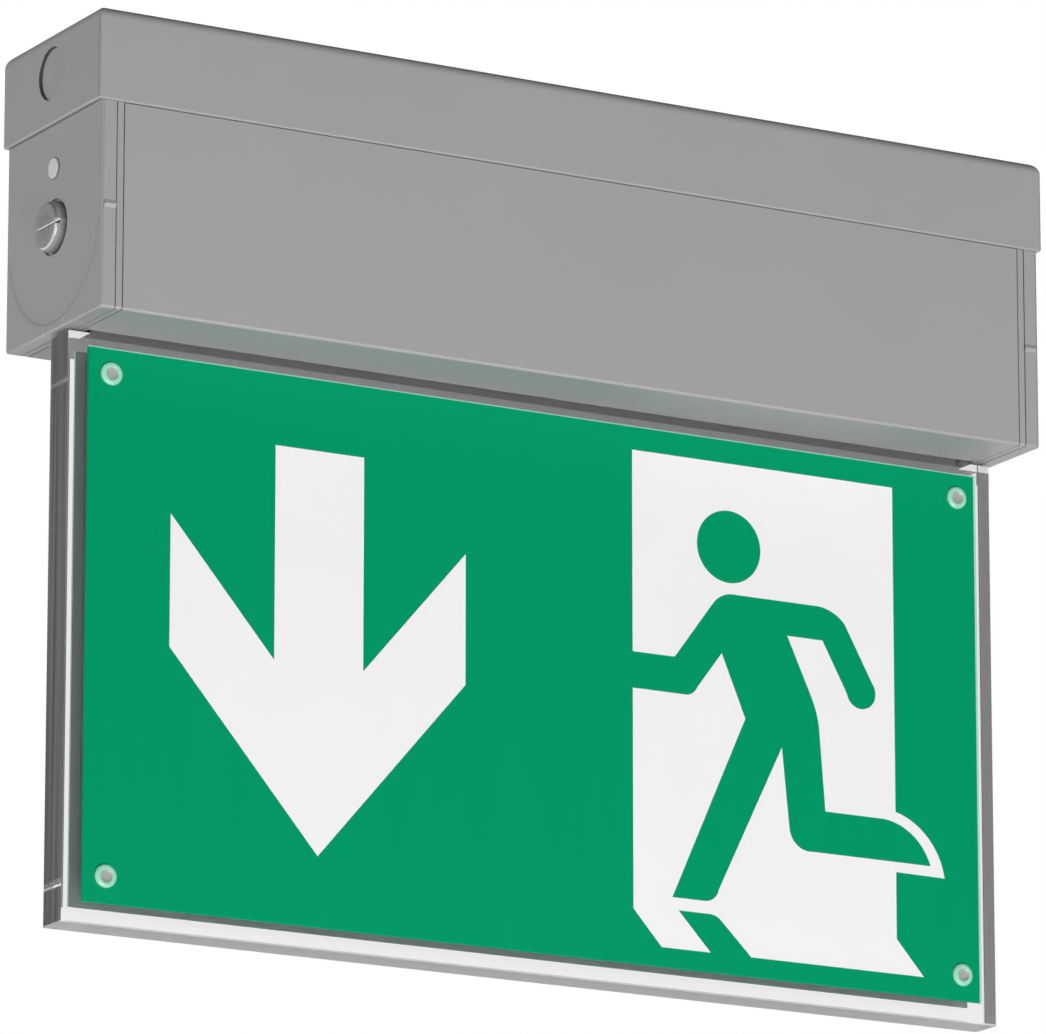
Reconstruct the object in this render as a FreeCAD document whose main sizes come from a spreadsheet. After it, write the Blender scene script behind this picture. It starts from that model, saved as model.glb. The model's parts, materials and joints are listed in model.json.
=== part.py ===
import FreeCAD, Part
import math
import os
import Sketcher
from FreeCAD import Placement, Rotation, Vector

# Ceiling-mounted emergency light: a grey base and gear housing with a clear edge-lit sign panel below.
# Origin at the centre of the ceiling face, +Z up, +X along the housing, the sign's front towards -Y.
# All sizes are in millimetres, and a drop is a distance below the ceiling.

DRIVING_SIZES = {
    "Ceiling base": {
        "base_length": 328,
        "base_depth": 62,
        "base_height": 28.5,
        "base_wall": 1.8,
        "base_roof": 2,
        "base_top_round": 3.4,
        "base_side_round": 0.5,
        "base_rim_bevel": 0.5,
        "knockout_radius": 8.1,
        "knockout_depth": 1.1,
        "knockout_drop": 13,
        "cable_hole_radius": 10,
        "fixing_spacing": 200,
        "fixing_slot_radius": 2.4,
        "fixing_slot_length": 9.6,
        "boss_radius": 3.5,
        "boss_height": 6,
        "boss_hole_radius": 1.55,
        "boss_spacing_long": 300,
        "boss_spacing_deep": 12,
    },
    "Gear housing and end caps": {
        "joint_gap": 0.15,
        "cover_length": 325,
        "cover_depth": 61,
        "cover_drop": 91.5,
        "cover_wall": 2.5,
        "cover_round": 0.9,
        "cover_edge_round": 0.3,
        "lip_height": 3,
        "cap_strip": 4.8,
        "cap_wall": 2.5,
        "cap_inner_half": 26.4,
        "cap_collar_width": 2.6,
        "cap_collar_inset": 0.5,
        "cap_line_width": 0.25,
        "cap_land_inset": 0.05,
        "cap_spigot": 6,
        "cap_side_round": 0.6,
        "spigot_clearance": 0.1,
        "tick_length": 3.9,
        "tick_height": 2.4,
        "tick_rise": 0.4,
        "ring_radius": 28.7,
        "ring_width": 1.2,
        "ring_depth": 0.12,
        "ring_sweep": 164,
        "panel_slot_length": 307.6,
        "panel_slot_width": 13,
    },
    "Turn locks and their keepers": {
        "lock_drop": 60,
        "lock_seat_radius": 8.6,
        "lock_seat_depth": 0.9,
        "lock_base_radius": 7.8,
        "lock_rim": 0.6,
        "lock_face_radius": 7.1,
        "lock_face_bevel": 0.5,
        "lock_head_height": 3,
        "lock_head_gap": 0.05,
        "lock_slot_width": 1.6,
        "lock_slot_depth": 1.5,
        "lock_shaft_radius": 4,
        "lock_running_gap": 0.08,
        "lock_shaft_length": 3.9,
        "lock_key_radius": 3.5,
        "lock_key_flat": 4,
        "lock_key_length": 4,
        "clip_inset": 2.7,
        "clip_thickness": 0.8,
        "clip_groove_radius": 3.2,
        "clip_radius": 5.6,
        "clip_mouth": 4.6,
        "keeper_inset": 5.1,
        "keeper_thickness": 1.5,
        "keeper_width": 20,
        "keeper_foot": 14.4,
        "keeper_hole_radius": 3.6,
        "keeper_entry": 4.4,
        "keeper_tail": 6,
        "keeper_window_radius": 3,
    },
    "Test button": {
        "button_drop": 42,
        "button_radius": 3.3,
        "button_running_gap": 0.08,
        "button_proud": 0.7,
        "button_edge": 0.4,
        "button_flange_radius": 4.3,
        "button_flange": 1,
        "button_flange_gap": 0.1,
        "button_stem_radius": 1.5,
        "button_stem": 4.9,
        "switch_bore_radius": 1.7,
        "switch_bore_depth": 3.5,
        "switch_size": 6.4,
        "switch_length": 4.6,
        "indicator_radius": 1.5,
        "indicator_length": 3.4,
        "indicator_offset": 6.5,
    },
    "Sign panel and sheets": {
        "panel_length": 320,
        "panel_thickness": 12,
        "panel_bevel": 0.4,
        "panel_drop": 268.5,
        "shoulder_drop": 92.3,
        "tongue_length": 306,
        "tongue_drop": 71.5,
        "sheet_width": 308,
        "sheet_height": 166,
        "sheet_drop": 96.2,
        "sheet_thickness": 1.2,
        "sheet_bevel": 0.4,
        "print_thickness": 0.12,
        "print_drop": 179.7,
        "rivet_inset_wide": 7.3,
        "rivet_inset_tall": 8,
        "rivet_pin_radius": 1.6,
        "rivet_hole_radius": 1.7,
        "rivet_head_radius": 3.5,
        "rivet_crown_radius": 2.8,
        "rivet_head_height": 1.1,
        "rivet_dimple_radius": 1.8,
        "rivet_dimple_depth": 0.4,
        "arrow_centre": -77,
        "arrow_half_height": 61.2,
        "arrow_shaft_half": 14.9,
        "arrow_wing_half": 49.6,
        "arrow_wing_rise": 36,
        "arrow_notch_fall": 4,
    },
    "Panel rail and light strip": {
        "rail_length": 296,
        "rail_wall": 1.5,
        "rail_drop": 66,
        "rail_foot": 10,
        "rail_screw_spacing_long": 240,
        "rail_screw_spacing_deep": 25,
        "rail_screw_hole_depth": 2,
        "rail_screw_bite": 1.75,
        "panel_bolt_pitch": 100,
        "panel_bolt_drop": 80,
        "panel_bolt_radius": 2,
        "panel_bolt_hole_radius": 2.1,
        "panel_bolt_tip": 1,
        "bolt_head_radius": 3.5,
        "bolt_head_height": 2.2,
        "nut_flats": 7,
        "nut_height": 3.2,
        "light_board_length": 292,
        "light_board_width": 11,
        "board_thickness": 1.6,
        "light_pitch": 12,
        "light_count": 24,
        "light_long": 3.5,
        "light_wide": 2.8,
        "light_tall": 0.8,
    },
    "Gear tray and what it carries": {
        "tray_length": 298,
        "tray_depth": 50,
        "tray_gauge": 1.2,
        "tray_flange": 6,
        "tray_upstand_drop": 32,
        "tray_upstand_width": 24,
        "tray_screw_left": -142,
        "tray_screw_right": 143,
        "screw_radius": 1.45,
        "screw_hole_radius": 1.6,
        "screw_head_radius": 2.8,
        "screw_head_height": 1.6,
        "screw_end_gap": 0.5,
        "lead_hole_radius": 2.2,
        "switch_board_half": 11,
        "switch_board_top_drop": 34,
        "switch_board_tall": 17,
        "driver_board_start": 30,
        "driver_board_length": 110,
        "driver_board_depth": 42,
        "spacer_height": 5,
        "spacer_radius": 2.5,
        "spacer_inset": 4,
        "core_start": 44,
        "core_length": 24,
        "core_depth": 20,
        "core_height": 15,
        "winding_length": 14,
        "winding_depth": 25,
        "winding_height": 11,
        "winding_lift": 2,
        "can_round": 0.8,
        "socket_length": 8,
        "socket_depth": 7,
        "battery_start": -134,
        "battery_length": 128,
        "battery_radius": 11.7,
        "battery_cells": 3,
        "battery_groove": 0.5,
        "battery_edge": 1,
        "battery_clip_gauge": 0.8,
        "battery_clip_width": 10,
        "battery_clip_inset": 26,
        "battery_clip_mouth_rise": 5.3,
        "terminal_start": 40,
        "terminal_length": 32,
        "terminal_depth": 22,
        "terminal_height": 17,
        "terminal_poles": 3,
        "terminal_well_radius": 2.2,
        "terminal_screw_radius": 2.1,
        "terminal_screw_height": 1.5,
        "terminal_slot_width": 0.7,
        "terminal_slot_depth": 0.8,
        "lead_radius": 1.1,
        "lead_bend": 5,
        "led_lead_x": 20,
        "plug_lift": 4,
        "battery_lead_offset": 4,
        "battery_lead_run": 14,
        "mains_lead_offset": 8,
        "mains_lead_start": 8,
        "mains_lead_slant": 10,
        "mains_lead_fall": 16,
        "grommet_flange_radius": 12.5,
        "grommet_flange": 1.5,
        "grommet_bore_radius": 5,
    },
}

document = FreeCAD.newDocument("EmergencyLight")
sizes = document.addObject("Spreadsheet::Sheet", "sizes")


def fill_sheet():
    row = 0
    for heading, group in DRIVING_SIZES.items():
        row += 1
        sizes.set(f"A{row}", heading)
        for alias, value in group.items():
            row += 1
            sizes.set(f"A{row}", alias.replace("_", " "))
            sizes.set(f"B{row}", str(value))
            sizes.setAlias(f"B{row}", alias)
    document.recompute()


fill_sheet()
pieces = []


def size(alias):
    return float(sizes.get(alias))


def finish(piece, label):
    piece.Label = label
    pieces.append(piece)


# Drops and places that several pieces share, written in terms of the sheet's cells.
COVER_TOP = "-(sizes.base_height + sizes.joint_gap)"
COVER_END = "(sizes.cover_length / 2)"
FLOOR_TOP = "-(sizes.cover_drop - sizes.cover_wall)"
STRIP_INNER = "(sizes.cover_length / 2 - sizes.cap_strip)"
HOUSING_END = "(sizes.cover_length / 2 - sizes.cap_strip - sizes.cap_collar_width)"
SHEET_CENTRE = "-(sizes.sheet_drop + sizes.sheet_height / 2)"
PRINT_CENTRE = "-sizes.print_drop"
RIVET_HALF_WIDE = "(sizes.sheet_width / 2 - sizes.rivet_inset_wide)"
RIVET_HALF_TALL = "(sizes.sheet_height / 2 - sizes.rivet_inset_tall)"
PANEL_FACE = "(sizes.panel_thickness / 2)"
TRAY_TOP = "-(sizes.rail_drop - sizes.tray_gauge)"

# The four corners of a screw or rivet pattern, as the signs of their two places.
CORNERS = [("-", "-"), ("-", ""), ("", "-"), ("", "")]

# Two places closer than this are the same place.
NEAR = 0.01


# Helpers for bodies: sketches on a body's own planes, with every size bound to the sheet.

def new_body(name):
    return document.addObject("PartDesign::Body", name)


def origin_plane(body, role):
    return [plane for plane in body.Origin.OriginFeatures if plane.Role == role][0]


def new_sketch(body, name, role, offset):
    sketch = body.newObject("Sketcher::SketchObject", name)
    sketch.AttachmentSupport = [(origin_plane(body, role), "")]
    sketch.MapMode = "FlatFace"
    sketch.setExpression("AttachmentOffset.Base.z", offset)
    return sketch


def bind(sketch, name, constraint, expression):
    index = sketch.addConstraint(constraint)
    sketch.renameConstraint(index, name)
    sketch.setExpression(f"Constraints.{name}", expression)


# The corners are first drawn on a rough circle, and the sheet's sizes then move each to its place.
def add_outline(sketch, tag, points):
    first = len(sketch.Geometry)
    count = len(points)
    turn = 2 * math.pi / count
    rough = 10
    start = [Vector(rough * math.cos(turn * i), rough * math.sin(turn * i), 0) for i in range(count)]
    for i in range(count):
        sketch.addGeometry(Part.LineSegment(start[i], start[(i + 1) % count]))
    for i in range(count):
        sketch.addConstraint(Sketcher.Constraint("Coincident", first + i, 2, first + (i + 1) % count, 1))
    for i, (across, up) in enumerate(points):
        reach = Sketcher.Constraint("DistanceX", -1, 1, first + i, 1, start[i].x)
        rise = Sketcher.Constraint("DistanceY", -1, 1, first + i, 1, start[i].y)
        bind(sketch, f"{tag}{i}across", reach, across)
        bind(sketch, f"{tag}{i}up", rise, up)


def add_rectangle(sketch, tag, low_across, high_across, low_up, high_up):
    add_outline(sketch, tag, [
        (low_across, low_up),
        (high_across, low_up),
        (high_across, high_up),
        (low_across, high_up),
    ])


def add_circle(sketch, tag, radius, across, up):
    index = sketch.addGeometry(Part.Circle(Vector(1, 1, 0), Vector(0, 0, 1), 1))
    bind(sketch, f"{tag}radius", Sketcher.Constraint("Radius", index, 1), radius)
    bind(sketch, f"{tag}across", Sketcher.Constraint("DistanceX", -1, 1, index, 3, 1), across)
    bind(sketch, f"{tag}up", Sketcher.Constraint("DistanceY", -1, 1, index, 3, 1), up)


def add_slot(sketch, tag, radius, length, across, up):
    first = len(sketch.Geometry)
    normal = Vector(0, 0, 1)
    right = Part.ArcOfCircle(Part.Circle(Vector(5, 0, 0), normal, 2), -math.pi / 2, math.pi / 2)
    left = Part.ArcOfCircle(Part.Circle(Vector(-5, 0, 0), normal, 2), math.pi / 2, 3 * math.pi / 2)
    sketch.addGeometry(right)
    sketch.addGeometry(Part.LineSegment(Vector(5, 2, 0), Vector(-5, 2, 0)))
    sketch.addGeometry(left)
    sketch.addGeometry(Part.LineSegment(Vector(-5, -2, 0), Vector(5, -2, 0)))
    for i in range(4):
        sketch.addConstraint(Sketcher.Constraint("Tangent", first + i, 2, first + (i + 1) % 4, 1))
    sketch.addConstraint(Sketcher.Constraint("Horizontal", first + 1))
    sketch.addConstraint(Sketcher.Constraint("Equal", first, first + 2))
    bind(sketch, f"{tag}radius", Sketcher.Constraint("Radius", first, 2), radius)
    bind(sketch, f"{tag}right", Sketcher.Constraint("DistanceX", -1, 1, first, 3, 5),
         f"{across} + {length} / 2 - {radius}")
    bind(sketch, f"{tag}left", Sketcher.Constraint("DistanceX", -1, 1, first + 2, 3, -5),
         f"{across} - {length} / 2 + {radius}")
    bind(sketch, f"{tag}up", Sketcher.Constraint("DistanceY", -1, 1, first, 3, 1), up)


def add_axis(sketch, up):
    axis = sketch.addGeometry(Part.LineSegment(Vector(0, -20, 0), Vector(30, -20, 0)), True)
    sketch.addConstraint(Sketcher.Constraint("Horizontal", axis))
    bind(sketch, "axis_up", Sketcher.Constraint("DistanceY", -1, 1, axis, 1, -20), up)


def pad(body, name, sketch, length, reverse=False):
    feature = body.newObject("PartDesign::Pad", name)
    feature.Profile = sketch
    feature.setExpression("Length", length)
    feature.Reversed = reverse
    document.recompute()
    return feature


def check_cut(body, name, volume):
    if body.Shape.Volume > volume - NEAR:
        raise RuntimeError(f"{name} cuts nothing")


def pocket(body, name, sketch, depth, reverse=False):
    volume = body.Shape.Volume
    feature = body.newObject("PartDesign::Pocket", name)
    feature.Profile = sketch
    feature.setExpression("Length", depth)
    feature.Reversed = reverse
    document.recompute()
    check_cut(body, name, volume)
    return feature


def dress_edges(body, kind, name, amount, chosen):
    base = body.Tip
    names = [f"Edge{i + 1}" for i, edge in enumerate(base.Shape.Edges) if chosen(edge.BoundBox)]
    feature = body.newObject(f"PartDesign::{kind}", name)
    feature.Base = (base, names)
    feature.setExpression("Radius" if kind == "Fillet" else "Size", amount)
    document.recompute()
    return feature


def revolve(body, name, role, offset, axis_up, profile):
    sketch = new_sketch(body, f"{name}_profile", role, offset)
    add_outline(sketch, "edge", [(across, f"{axis_up} + {radius}") for across, radius in profile])
    add_axis(sketch, axis_up)
    feature = body.newObject("PartDesign::Revolution", name)
    feature.Profile = sketch
    feature.ReferenceAxis = (sketch, ["Axis0"])
    document.recompute()
    return feature


# Helpers for plain blocks and rods, with their sizes bound to the sheet.

def place(item, x, y, z):
    item.setExpression("Placement.Base.x", x)
    item.setExpression("Placement.Base.y", y)
    item.setExpression("Placement.Base.z", z)


def block(name, length, depth, height, x, y, z):
    item = document.addObject("Part::Box", name)
    item.setExpression("Length", length)
    item.setExpression("Width", depth)
    item.setExpression("Height", height)
    place(item, x, y, z)
    return item


def rod(name, radius, length, direction, x, y, z):
    item = document.addObject("Part::Cylinder", name)
    item.setExpression("Radius", radius)
    item.setExpression("Height", length)
    item.Placement = Placement(Vector(), Rotation(Vector(0, 0, 1), direction))
    place(item, x, y, z)
    return item


def cut(name, base, tool):
    item = document.addObject("Part::Cut", name)
    item.Base = base
    item.Tool = tool
    return item


def fuse(name, base, tool):
    item = document.addObject("Part::Fuse", name)
    item.Base = base
    item.Tool = tool
    return item


def formed(label, shape, half_turn=False):
    item = document.addObject("Part::Feature", label)
    item.Shape = shape
    item.Placement = Placement(Vector(), Rotation(Vector(0, 0, 1), 180 if half_turn else 0))
    finish(item, label)


def group(label, shapes):
    formed(label, Part.makeCompound(shapes))


# Ceiling base

def ceiling_base():
    body = new_body("ceiling_base")
    outline = new_sketch(body, "base_outline", "XY_Plane", "0")
    half_long = "sizes.base_length / 2"
    half_deep = "sizes.base_depth / 2"
    add_rectangle(outline, "side", f"-{half_long}", half_long, f"-{half_deep}", half_deep)
    pad(body, "base_block", outline, "sizes.base_height", reverse=True)
    height = size("base_height")
    dress_edges(body, "Chamfer", "base_rim_bevels", "sizes.base_rim_bevel",
                lambda box: box.ZMax < NEAR - height)
    dress_edges(body, "Fillet", "base_side_rounds", "sizes.base_side_round",
                lambda box: box.ZLength > height / 2)
    dress_edges(body, "Fillet", "base_top_rounds", "sizes.base_top_round",
                lambda box: box.ZMin > -NEAR)
    inside = new_sketch(body, "base_inside", "XY_Plane", "-sizes.base_height")
    inner_long = f"({half_long} - sizes.base_wall)"
    inner_deep = f"({half_deep} - sizes.base_wall)"
    add_rectangle(inside, "side", f"-{inner_long}", inner_long, f"-{inner_deep}", inner_deep)
    pocket(body, "base_hollow", inside, "sizes.base_height - sizes.base_roof", reverse=True)
    bosses = new_sketch(body, "base_boss_rings", "XY_Plane", "-sizes.base_roof")
    for i, (along, deep) in enumerate(CORNERS):
        across = f"{along}sizes.boss_spacing_long / 2"
        up = f"{deep}sizes.boss_spacing_deep / 2"
        add_circle(bosses, f"outer{i}", "sizes.boss_radius", across, up)
        add_circle(bosses, f"inner{i}", "sizes.boss_hole_radius", across, up)
    pad(body, "base_bosses", bosses, "sizes.boss_height", reverse=True)
    openings = new_sketch(body, "base_openings", "XY_Plane", "0")
    add_circle(openings, "cable", "sizes.cable_hole_radius", "0", "0")
    for tag, sign in (("left", "-"), ("right", "")):
        add_slot(openings, tag, "sizes.fixing_slot_radius", "sizes.fixing_slot_length",
                 f"{sign}sizes.fixing_spacing / 2", "0")
    pocket(body, "base_roof_openings", openings, "sizes.base_roof")
    for tag, sign in (("left", "-"), ("right", "")):
        disc = new_sketch(body, f"knockout_{tag}_disc", "YZ_Plane", f"{sign}{half_long}")
        add_circle(disc, "disc", "sizes.knockout_radius", "0", "-sizes.knockout_drop")
        pocket(body, f"knockout_{tag}", disc, "sizes.knockout_depth", reverse=sign == "-")
    finish(body, "ceiling_base")


def cable_grommet():
    body = new_body("cable_grommet")
    flange = new_sketch(body, "grommet_flange_disc", "XY_Plane", "-sizes.base_roof")
    add_circle(flange, "outer", "sizes.grommet_flange_radius", "0", "0")
    add_circle(flange, "inner", "sizes.grommet_bore_radius", "0", "0")
    pad(body, "grommet_flange", flange, "sizes.grommet_flange", reverse=True)
    neck = new_sketch(body, "grommet_neck_disc", "XY_Plane", "-sizes.base_roof")
    add_circle(neck, "outer", "sizes.cable_hole_radius", "0", "0")
    add_circle(neck, "inner", "sizes.grommet_bore_radius", "0", "0")
    pad(body, "grommet_neck", neck, "sizes.base_roof")
    finish(body, "cable_grommet")


def terminal_block():
    pitch = "(sizes.terminal_length / sizes.terminal_poles)"
    body = new_body("terminal_block")
    outline = new_sketch(body, "terminal_outline", "XY_Plane", "-sizes.base_roof")
    half_deep = "sizes.terminal_depth / 2"
    end = "sizes.terminal_start + sizes.terminal_length"
    add_rectangle(outline, "side", "sizes.terminal_start", end, f"-{half_deep}", half_deep)
    pad(body, "terminal_body", outline, "sizes.terminal_height", reverse=True)
    wells = new_sketch(body, "terminal_wells", "XY_Plane", "-(sizes.base_roof + sizes.terminal_height)")
    ports = new_sketch(body, "terminal_ports", "XZ_Plane", half_deep)
    for pole in range(int(size("terminal_poles"))):
        across = f"sizes.terminal_start + {pitch} * {pole + 0.5}"
        for tag, sign in (("near", "-"), ("far", "")):
            add_circle(wells, f"{tag}{pole}", "sizes.terminal_well_radius", across,
                       f"{sign}sizes.terminal_depth / 4")
        add_circle(ports, f"port{pole}", "sizes.terminal_well_radius", across,
                   "-(sizes.base_roof + sizes.terminal_height / 2)")
    pocket(body, "terminal_screw_wells", wells, "sizes.terminal_height / 4", reverse=True)
    pocket(body, "terminal_wire_ports", ports, "sizes.terminal_depth / 6")
    finish(body, "terminal_block")


# Slotted screw heads at the bottom of the terminal block's wells.
def terminal_screws():
    well_top = -(size("base_roof") + size("terminal_height") * 3 / 4)
    step = size("terminal_length") / size("terminal_poles")
    radius = size("terminal_screw_radius")
    height = size("terminal_screw_height")
    slot_width = size("terminal_slot_width")
    slot_depth = size("terminal_slot_depth")
    screws = []
    for pole in range(int(size("terminal_poles"))):
        along = size("terminal_start") + step * (pole + 0.5)
        for sign in (-1, 1):
            foot = Vector(along, sign * size("terminal_depth") / 4, well_top)
            head = Part.makeCylinder(radius, height, foot, Vector(0, 0, -1))
            corner = foot + Vector(-radius, -slot_width / 2, -height)
            screws.append(head.cut(Part.makeBox(2 * radius, slot_width, slot_depth, corner)))
    group("terminal_screws", screws)


# Gear housing and end caps

def gear_housing():
    body = new_body("gear_housing")
    section = new_sketch(body, "housing_section", "YZ_Plane", f"-{HOUSING_END}")
    outer = "sizes.cover_depth / 2"
    inner = "(sizes.cover_depth / 2 - sizes.cover_wall)"
    lip = "(sizes.base_depth / 2 - sizes.base_wall)"
    lip_top = f"{COVER_TOP} + sizes.lip_height"
    bottom = "-sizes.cover_drop"
    add_outline(section, "edge", [
        (f"-{outer}", COVER_TOP),
        (f"-{outer}", bottom),
        (outer, bottom),
        (outer, COVER_TOP),
        (lip, COVER_TOP),
        (lip, lip_top),
        (inner, lip_top),
        (inner, FLOOR_TOP),
        (f"-{inner}", FLOOR_TOP),
        (f"-{inner}", lip_top),
        (f"-{lip}", lip_top),
        (f"-{lip}", COVER_TOP),
    ])
    pad(body, "housing_profile", section, f"2 * {HOUSING_END}")
    low = -size("cover_drop")
    top = -size("base_height") - size("joint_gap")
    long_enough = size("cover_length") / 2
    deep = size("cover_depth") / 2

    def on_wall(box, height):
        return box.XLength > long_enough and abs(box.YMax) > deep - NEAR and abs(box.ZMax - height) < NEAR

    dress_edges(body, "Fillet", "housing_bottom_rounds", "sizes.cover_round", lambda box: on_wall(box, low))
    dress_edges(body, "Fillet", "housing_top_rounds", "sizes.cover_edge_round", lambda box: on_wall(box, top))
    slot = new_sketch(body, "panel_slot_outline", "XY_Plane", "-sizes.cover_drop")
    half_long = "sizes.panel_slot_length / 2"
    half_wide = "sizes.panel_slot_width / 2"
    add_rectangle(slot, "side", f"-{half_long}", half_long, f"-{half_wide}", half_wide)
    pocket(body, "panel_slot", slot, "sizes.cover_wall", reverse=True)
    screws = new_sketch(body, "rail_screw_discs", "XY_Plane", FLOOR_TOP)
    for i, (along, across) in enumerate(CORNERS):
        add_circle(screws, f"hole{i}", "sizes.screw_hole_radius", f"{along}sizes.rail_screw_spacing_long / 2",
                   f"{across}sizes.rail_screw_spacing_deep / 2")
    pocket(body, "rail_screw_holes", screws, "sizes.rail_screw_hole_depth")
    finish(body, "gear_housing")


def end_cap(label, sign, with_button):
    left = sign == "-"
    half_deep = "sizes.cover_depth / 2"
    body = new_body(label)
    strip = new_sketch(body, f"{label}_strip_outline", "YZ_Plane", f"{sign}{COVER_END}")
    add_rectangle(strip, "side", f"-{half_deep}", half_deep, "-sizes.cover_drop", COVER_TOP)
    pad(body, f"{label}_strip", strip, "sizes.cap_strip", reverse=not left)
    deep = size("cover_depth") / 2
    strip_width = size("cap_strip")
    low = -size("cover_drop")
    dress_edges(body, "Fillet", f"{label}_bottom_rounds", "sizes.cover_round",
                lambda box: abs(box.XLength - strip_width) < NEAR and box.ZMax < low + NEAR)
    far = size("cover_length") / 2
    dress_edges(body, "Fillet", f"{label}_outer_rounds", "sizes.cap_side_round",
                lambda box: box.XLength < NEAR and abs(box.XMax) > far - NEAR
                and not (box.YLength > deep and box.ZMax > low / 2))
    collar = new_sketch(body, f"{label}_collar_outline", "YZ_Plane", f"{sign}{STRIP_INNER}")
    collar_half = f"({half_deep} - sizes.cap_collar_inset)"
    add_rectangle(collar, "side", f"-{collar_half}", collar_half,
                  "-(sizes.cover_drop - sizes.cap_collar_inset)", COVER_TOP)
    pad(body, f"{label}_collar", collar, "sizes.cap_collar_width", reverse=not left)
    end_cap_land(body, label, sign)
    spigot = new_sketch(body, f"{label}_spigot_outlines", "YZ_Plane", f"{sign}{HOUSING_END}")
    spigot_out = "(sizes.cover_depth / 2 - sizes.cover_wall - sizes.spigot_clearance)"
    add_rectangle(spigot, "front", f"-{spigot_out}", "-sizes.cap_inner_half", FLOOR_TOP, COVER_TOP)
    add_rectangle(spigot, "rear", "sizes.cap_inner_half", spigot_out, FLOOR_TOP, COVER_TOP)
    pad(body, f"{label}_spigots", spigot, "sizes.cap_spigot", reverse=not left)
    hollow = new_sketch(body, f"{label}_hollow_outline", "YZ_Plane", f"{sign}({COVER_END} - sizes.cap_wall)")
    add_rectangle(hollow, "side", "-sizes.cap_inner_half", "sizes.cap_inner_half", FLOOR_TOP, "0")
    pocket(body, f"{label}_hollow", hollow, "sizes.cap_strip + sizes.cap_collar_width - sizes.cap_wall",
           reverse=left)
    seat = new_sketch(body, f"{label}_seat_disc", "YZ_Plane", f"{sign}{COVER_END}")
    add_circle(seat, "seat", "sizes.lock_seat_radius", "0", "-sizes.lock_drop")
    pocket(body, f"{label}_seat", seat, "sizes.lock_seat_depth", reverse=left)
    bores = new_sketch(body, f"{label}_bore_discs", "YZ_Plane", f"{sign}{COVER_END}")
    add_circle(bores, "lock", "sizes.lock_shaft_radius + sizes.lock_running_gap", "0", "-sizes.lock_drop")
    if with_button:
        add_circle(bores, "button", "sizes.button_radius + sizes.button_running_gap", "0",
                   "-sizes.button_drop")
    pocket(body, f"{label}_bores", bores, "sizes.cap_wall", reverse=left)
    level_ticks(body, label, sign)
    half_ring(body, label, sign)
    finish(body, label)


# A land on the collar, almost flush with the housing, which leaves a fine shadow line on either side of it.
def end_cap_land(body, label, sign):
    outline = new_sketch(body, f"{label}_land_outline", "YZ_Plane",
                         f"{sign}({STRIP_INNER} - sizes.cap_line_width)")
    half = "(sizes.cover_depth / 2 - sizes.cap_land_inset)"
    bottom = "-(sizes.cover_drop - sizes.cap_land_inset)"
    add_rectangle(outline, "side", f"-{half}", half, bottom, COVER_TOP)
    pad(body, f"{label}_land", outline, "sizes.cap_collar_width - 2 * sizes.cap_line_width",
        reverse=sign == "")
    width = size("cap_collar_width") - 2 * size("cap_line_width")
    low = -(size("cover_drop") - size("cap_land_inset"))
    dress_edges(body, "Fillet", f"{label}_land_rounds", "sizes.cover_round",
                lambda box: abs(box.XLength - width) < NEAR and box.ZMax < low + NEAR)


# A low ridge with a roof section on the front and rear of the strip, level with the lock.
def level_ticks(body, label, sign):
    face = "(sizes.cover_depth / 2)"
    for tag, side in (("front", "-"), ("rear", "")):
        ridge = new_sketch(body, f"{label}_{tag}_tick_section", "YZ_Plane", f"{sign}{STRIP_INNER}")
        add_outline(ridge, "edge", [
            (f"{side}{face}", "-(sizes.lock_drop - sizes.tick_height / 2)"),
            (f"{side}({face} + sizes.tick_rise)", "-sizes.lock_drop"),
            (f"{side}{face}", "-(sizes.lock_drop + sizes.tick_height / 2)"),
        ])
        pad(body, f"{label}_{tag}_tick", ridge, "sizes.tick_length", reverse=sign == "-")


# A shallow half-round groove below the lock, with a vee section, drawn about the lock's axis.
def half_ring(body, label, sign):
    profile = new_sketch(body, f"{label}_ring_profile", "XZ_Plane", "0")
    middle = "(sizes.lock_drop + sizes.ring_radius)"
    outside = f"{sign}({COVER_END} + sizes.ring_depth)"
    add_outline(profile, "edge", [
        (f"{sign}({COVER_END} - sizes.ring_depth)", f"-{middle}"),
        (outside, f"-({middle} - sizes.ring_width)"),
        (outside, f"-({middle} + sizes.ring_width)"),
    ])
    add_axis(profile, "-sizes.lock_drop")
    volume = body.Shape.Volume
    ring = body.newObject("PartDesign::Groove", f"{label}_ring")
    ring.Profile = profile
    ring.ReferenceAxis = (profile, ["Axis0"])
    ring.Midplane = True
    ring.setExpression("Angle", "sizes.ring_sweep")
    document.recompute()
    check_cut(body, f"{label}_ring", volume)


# Turn locks, their clips, and the steel keepers that hang from the base

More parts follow.
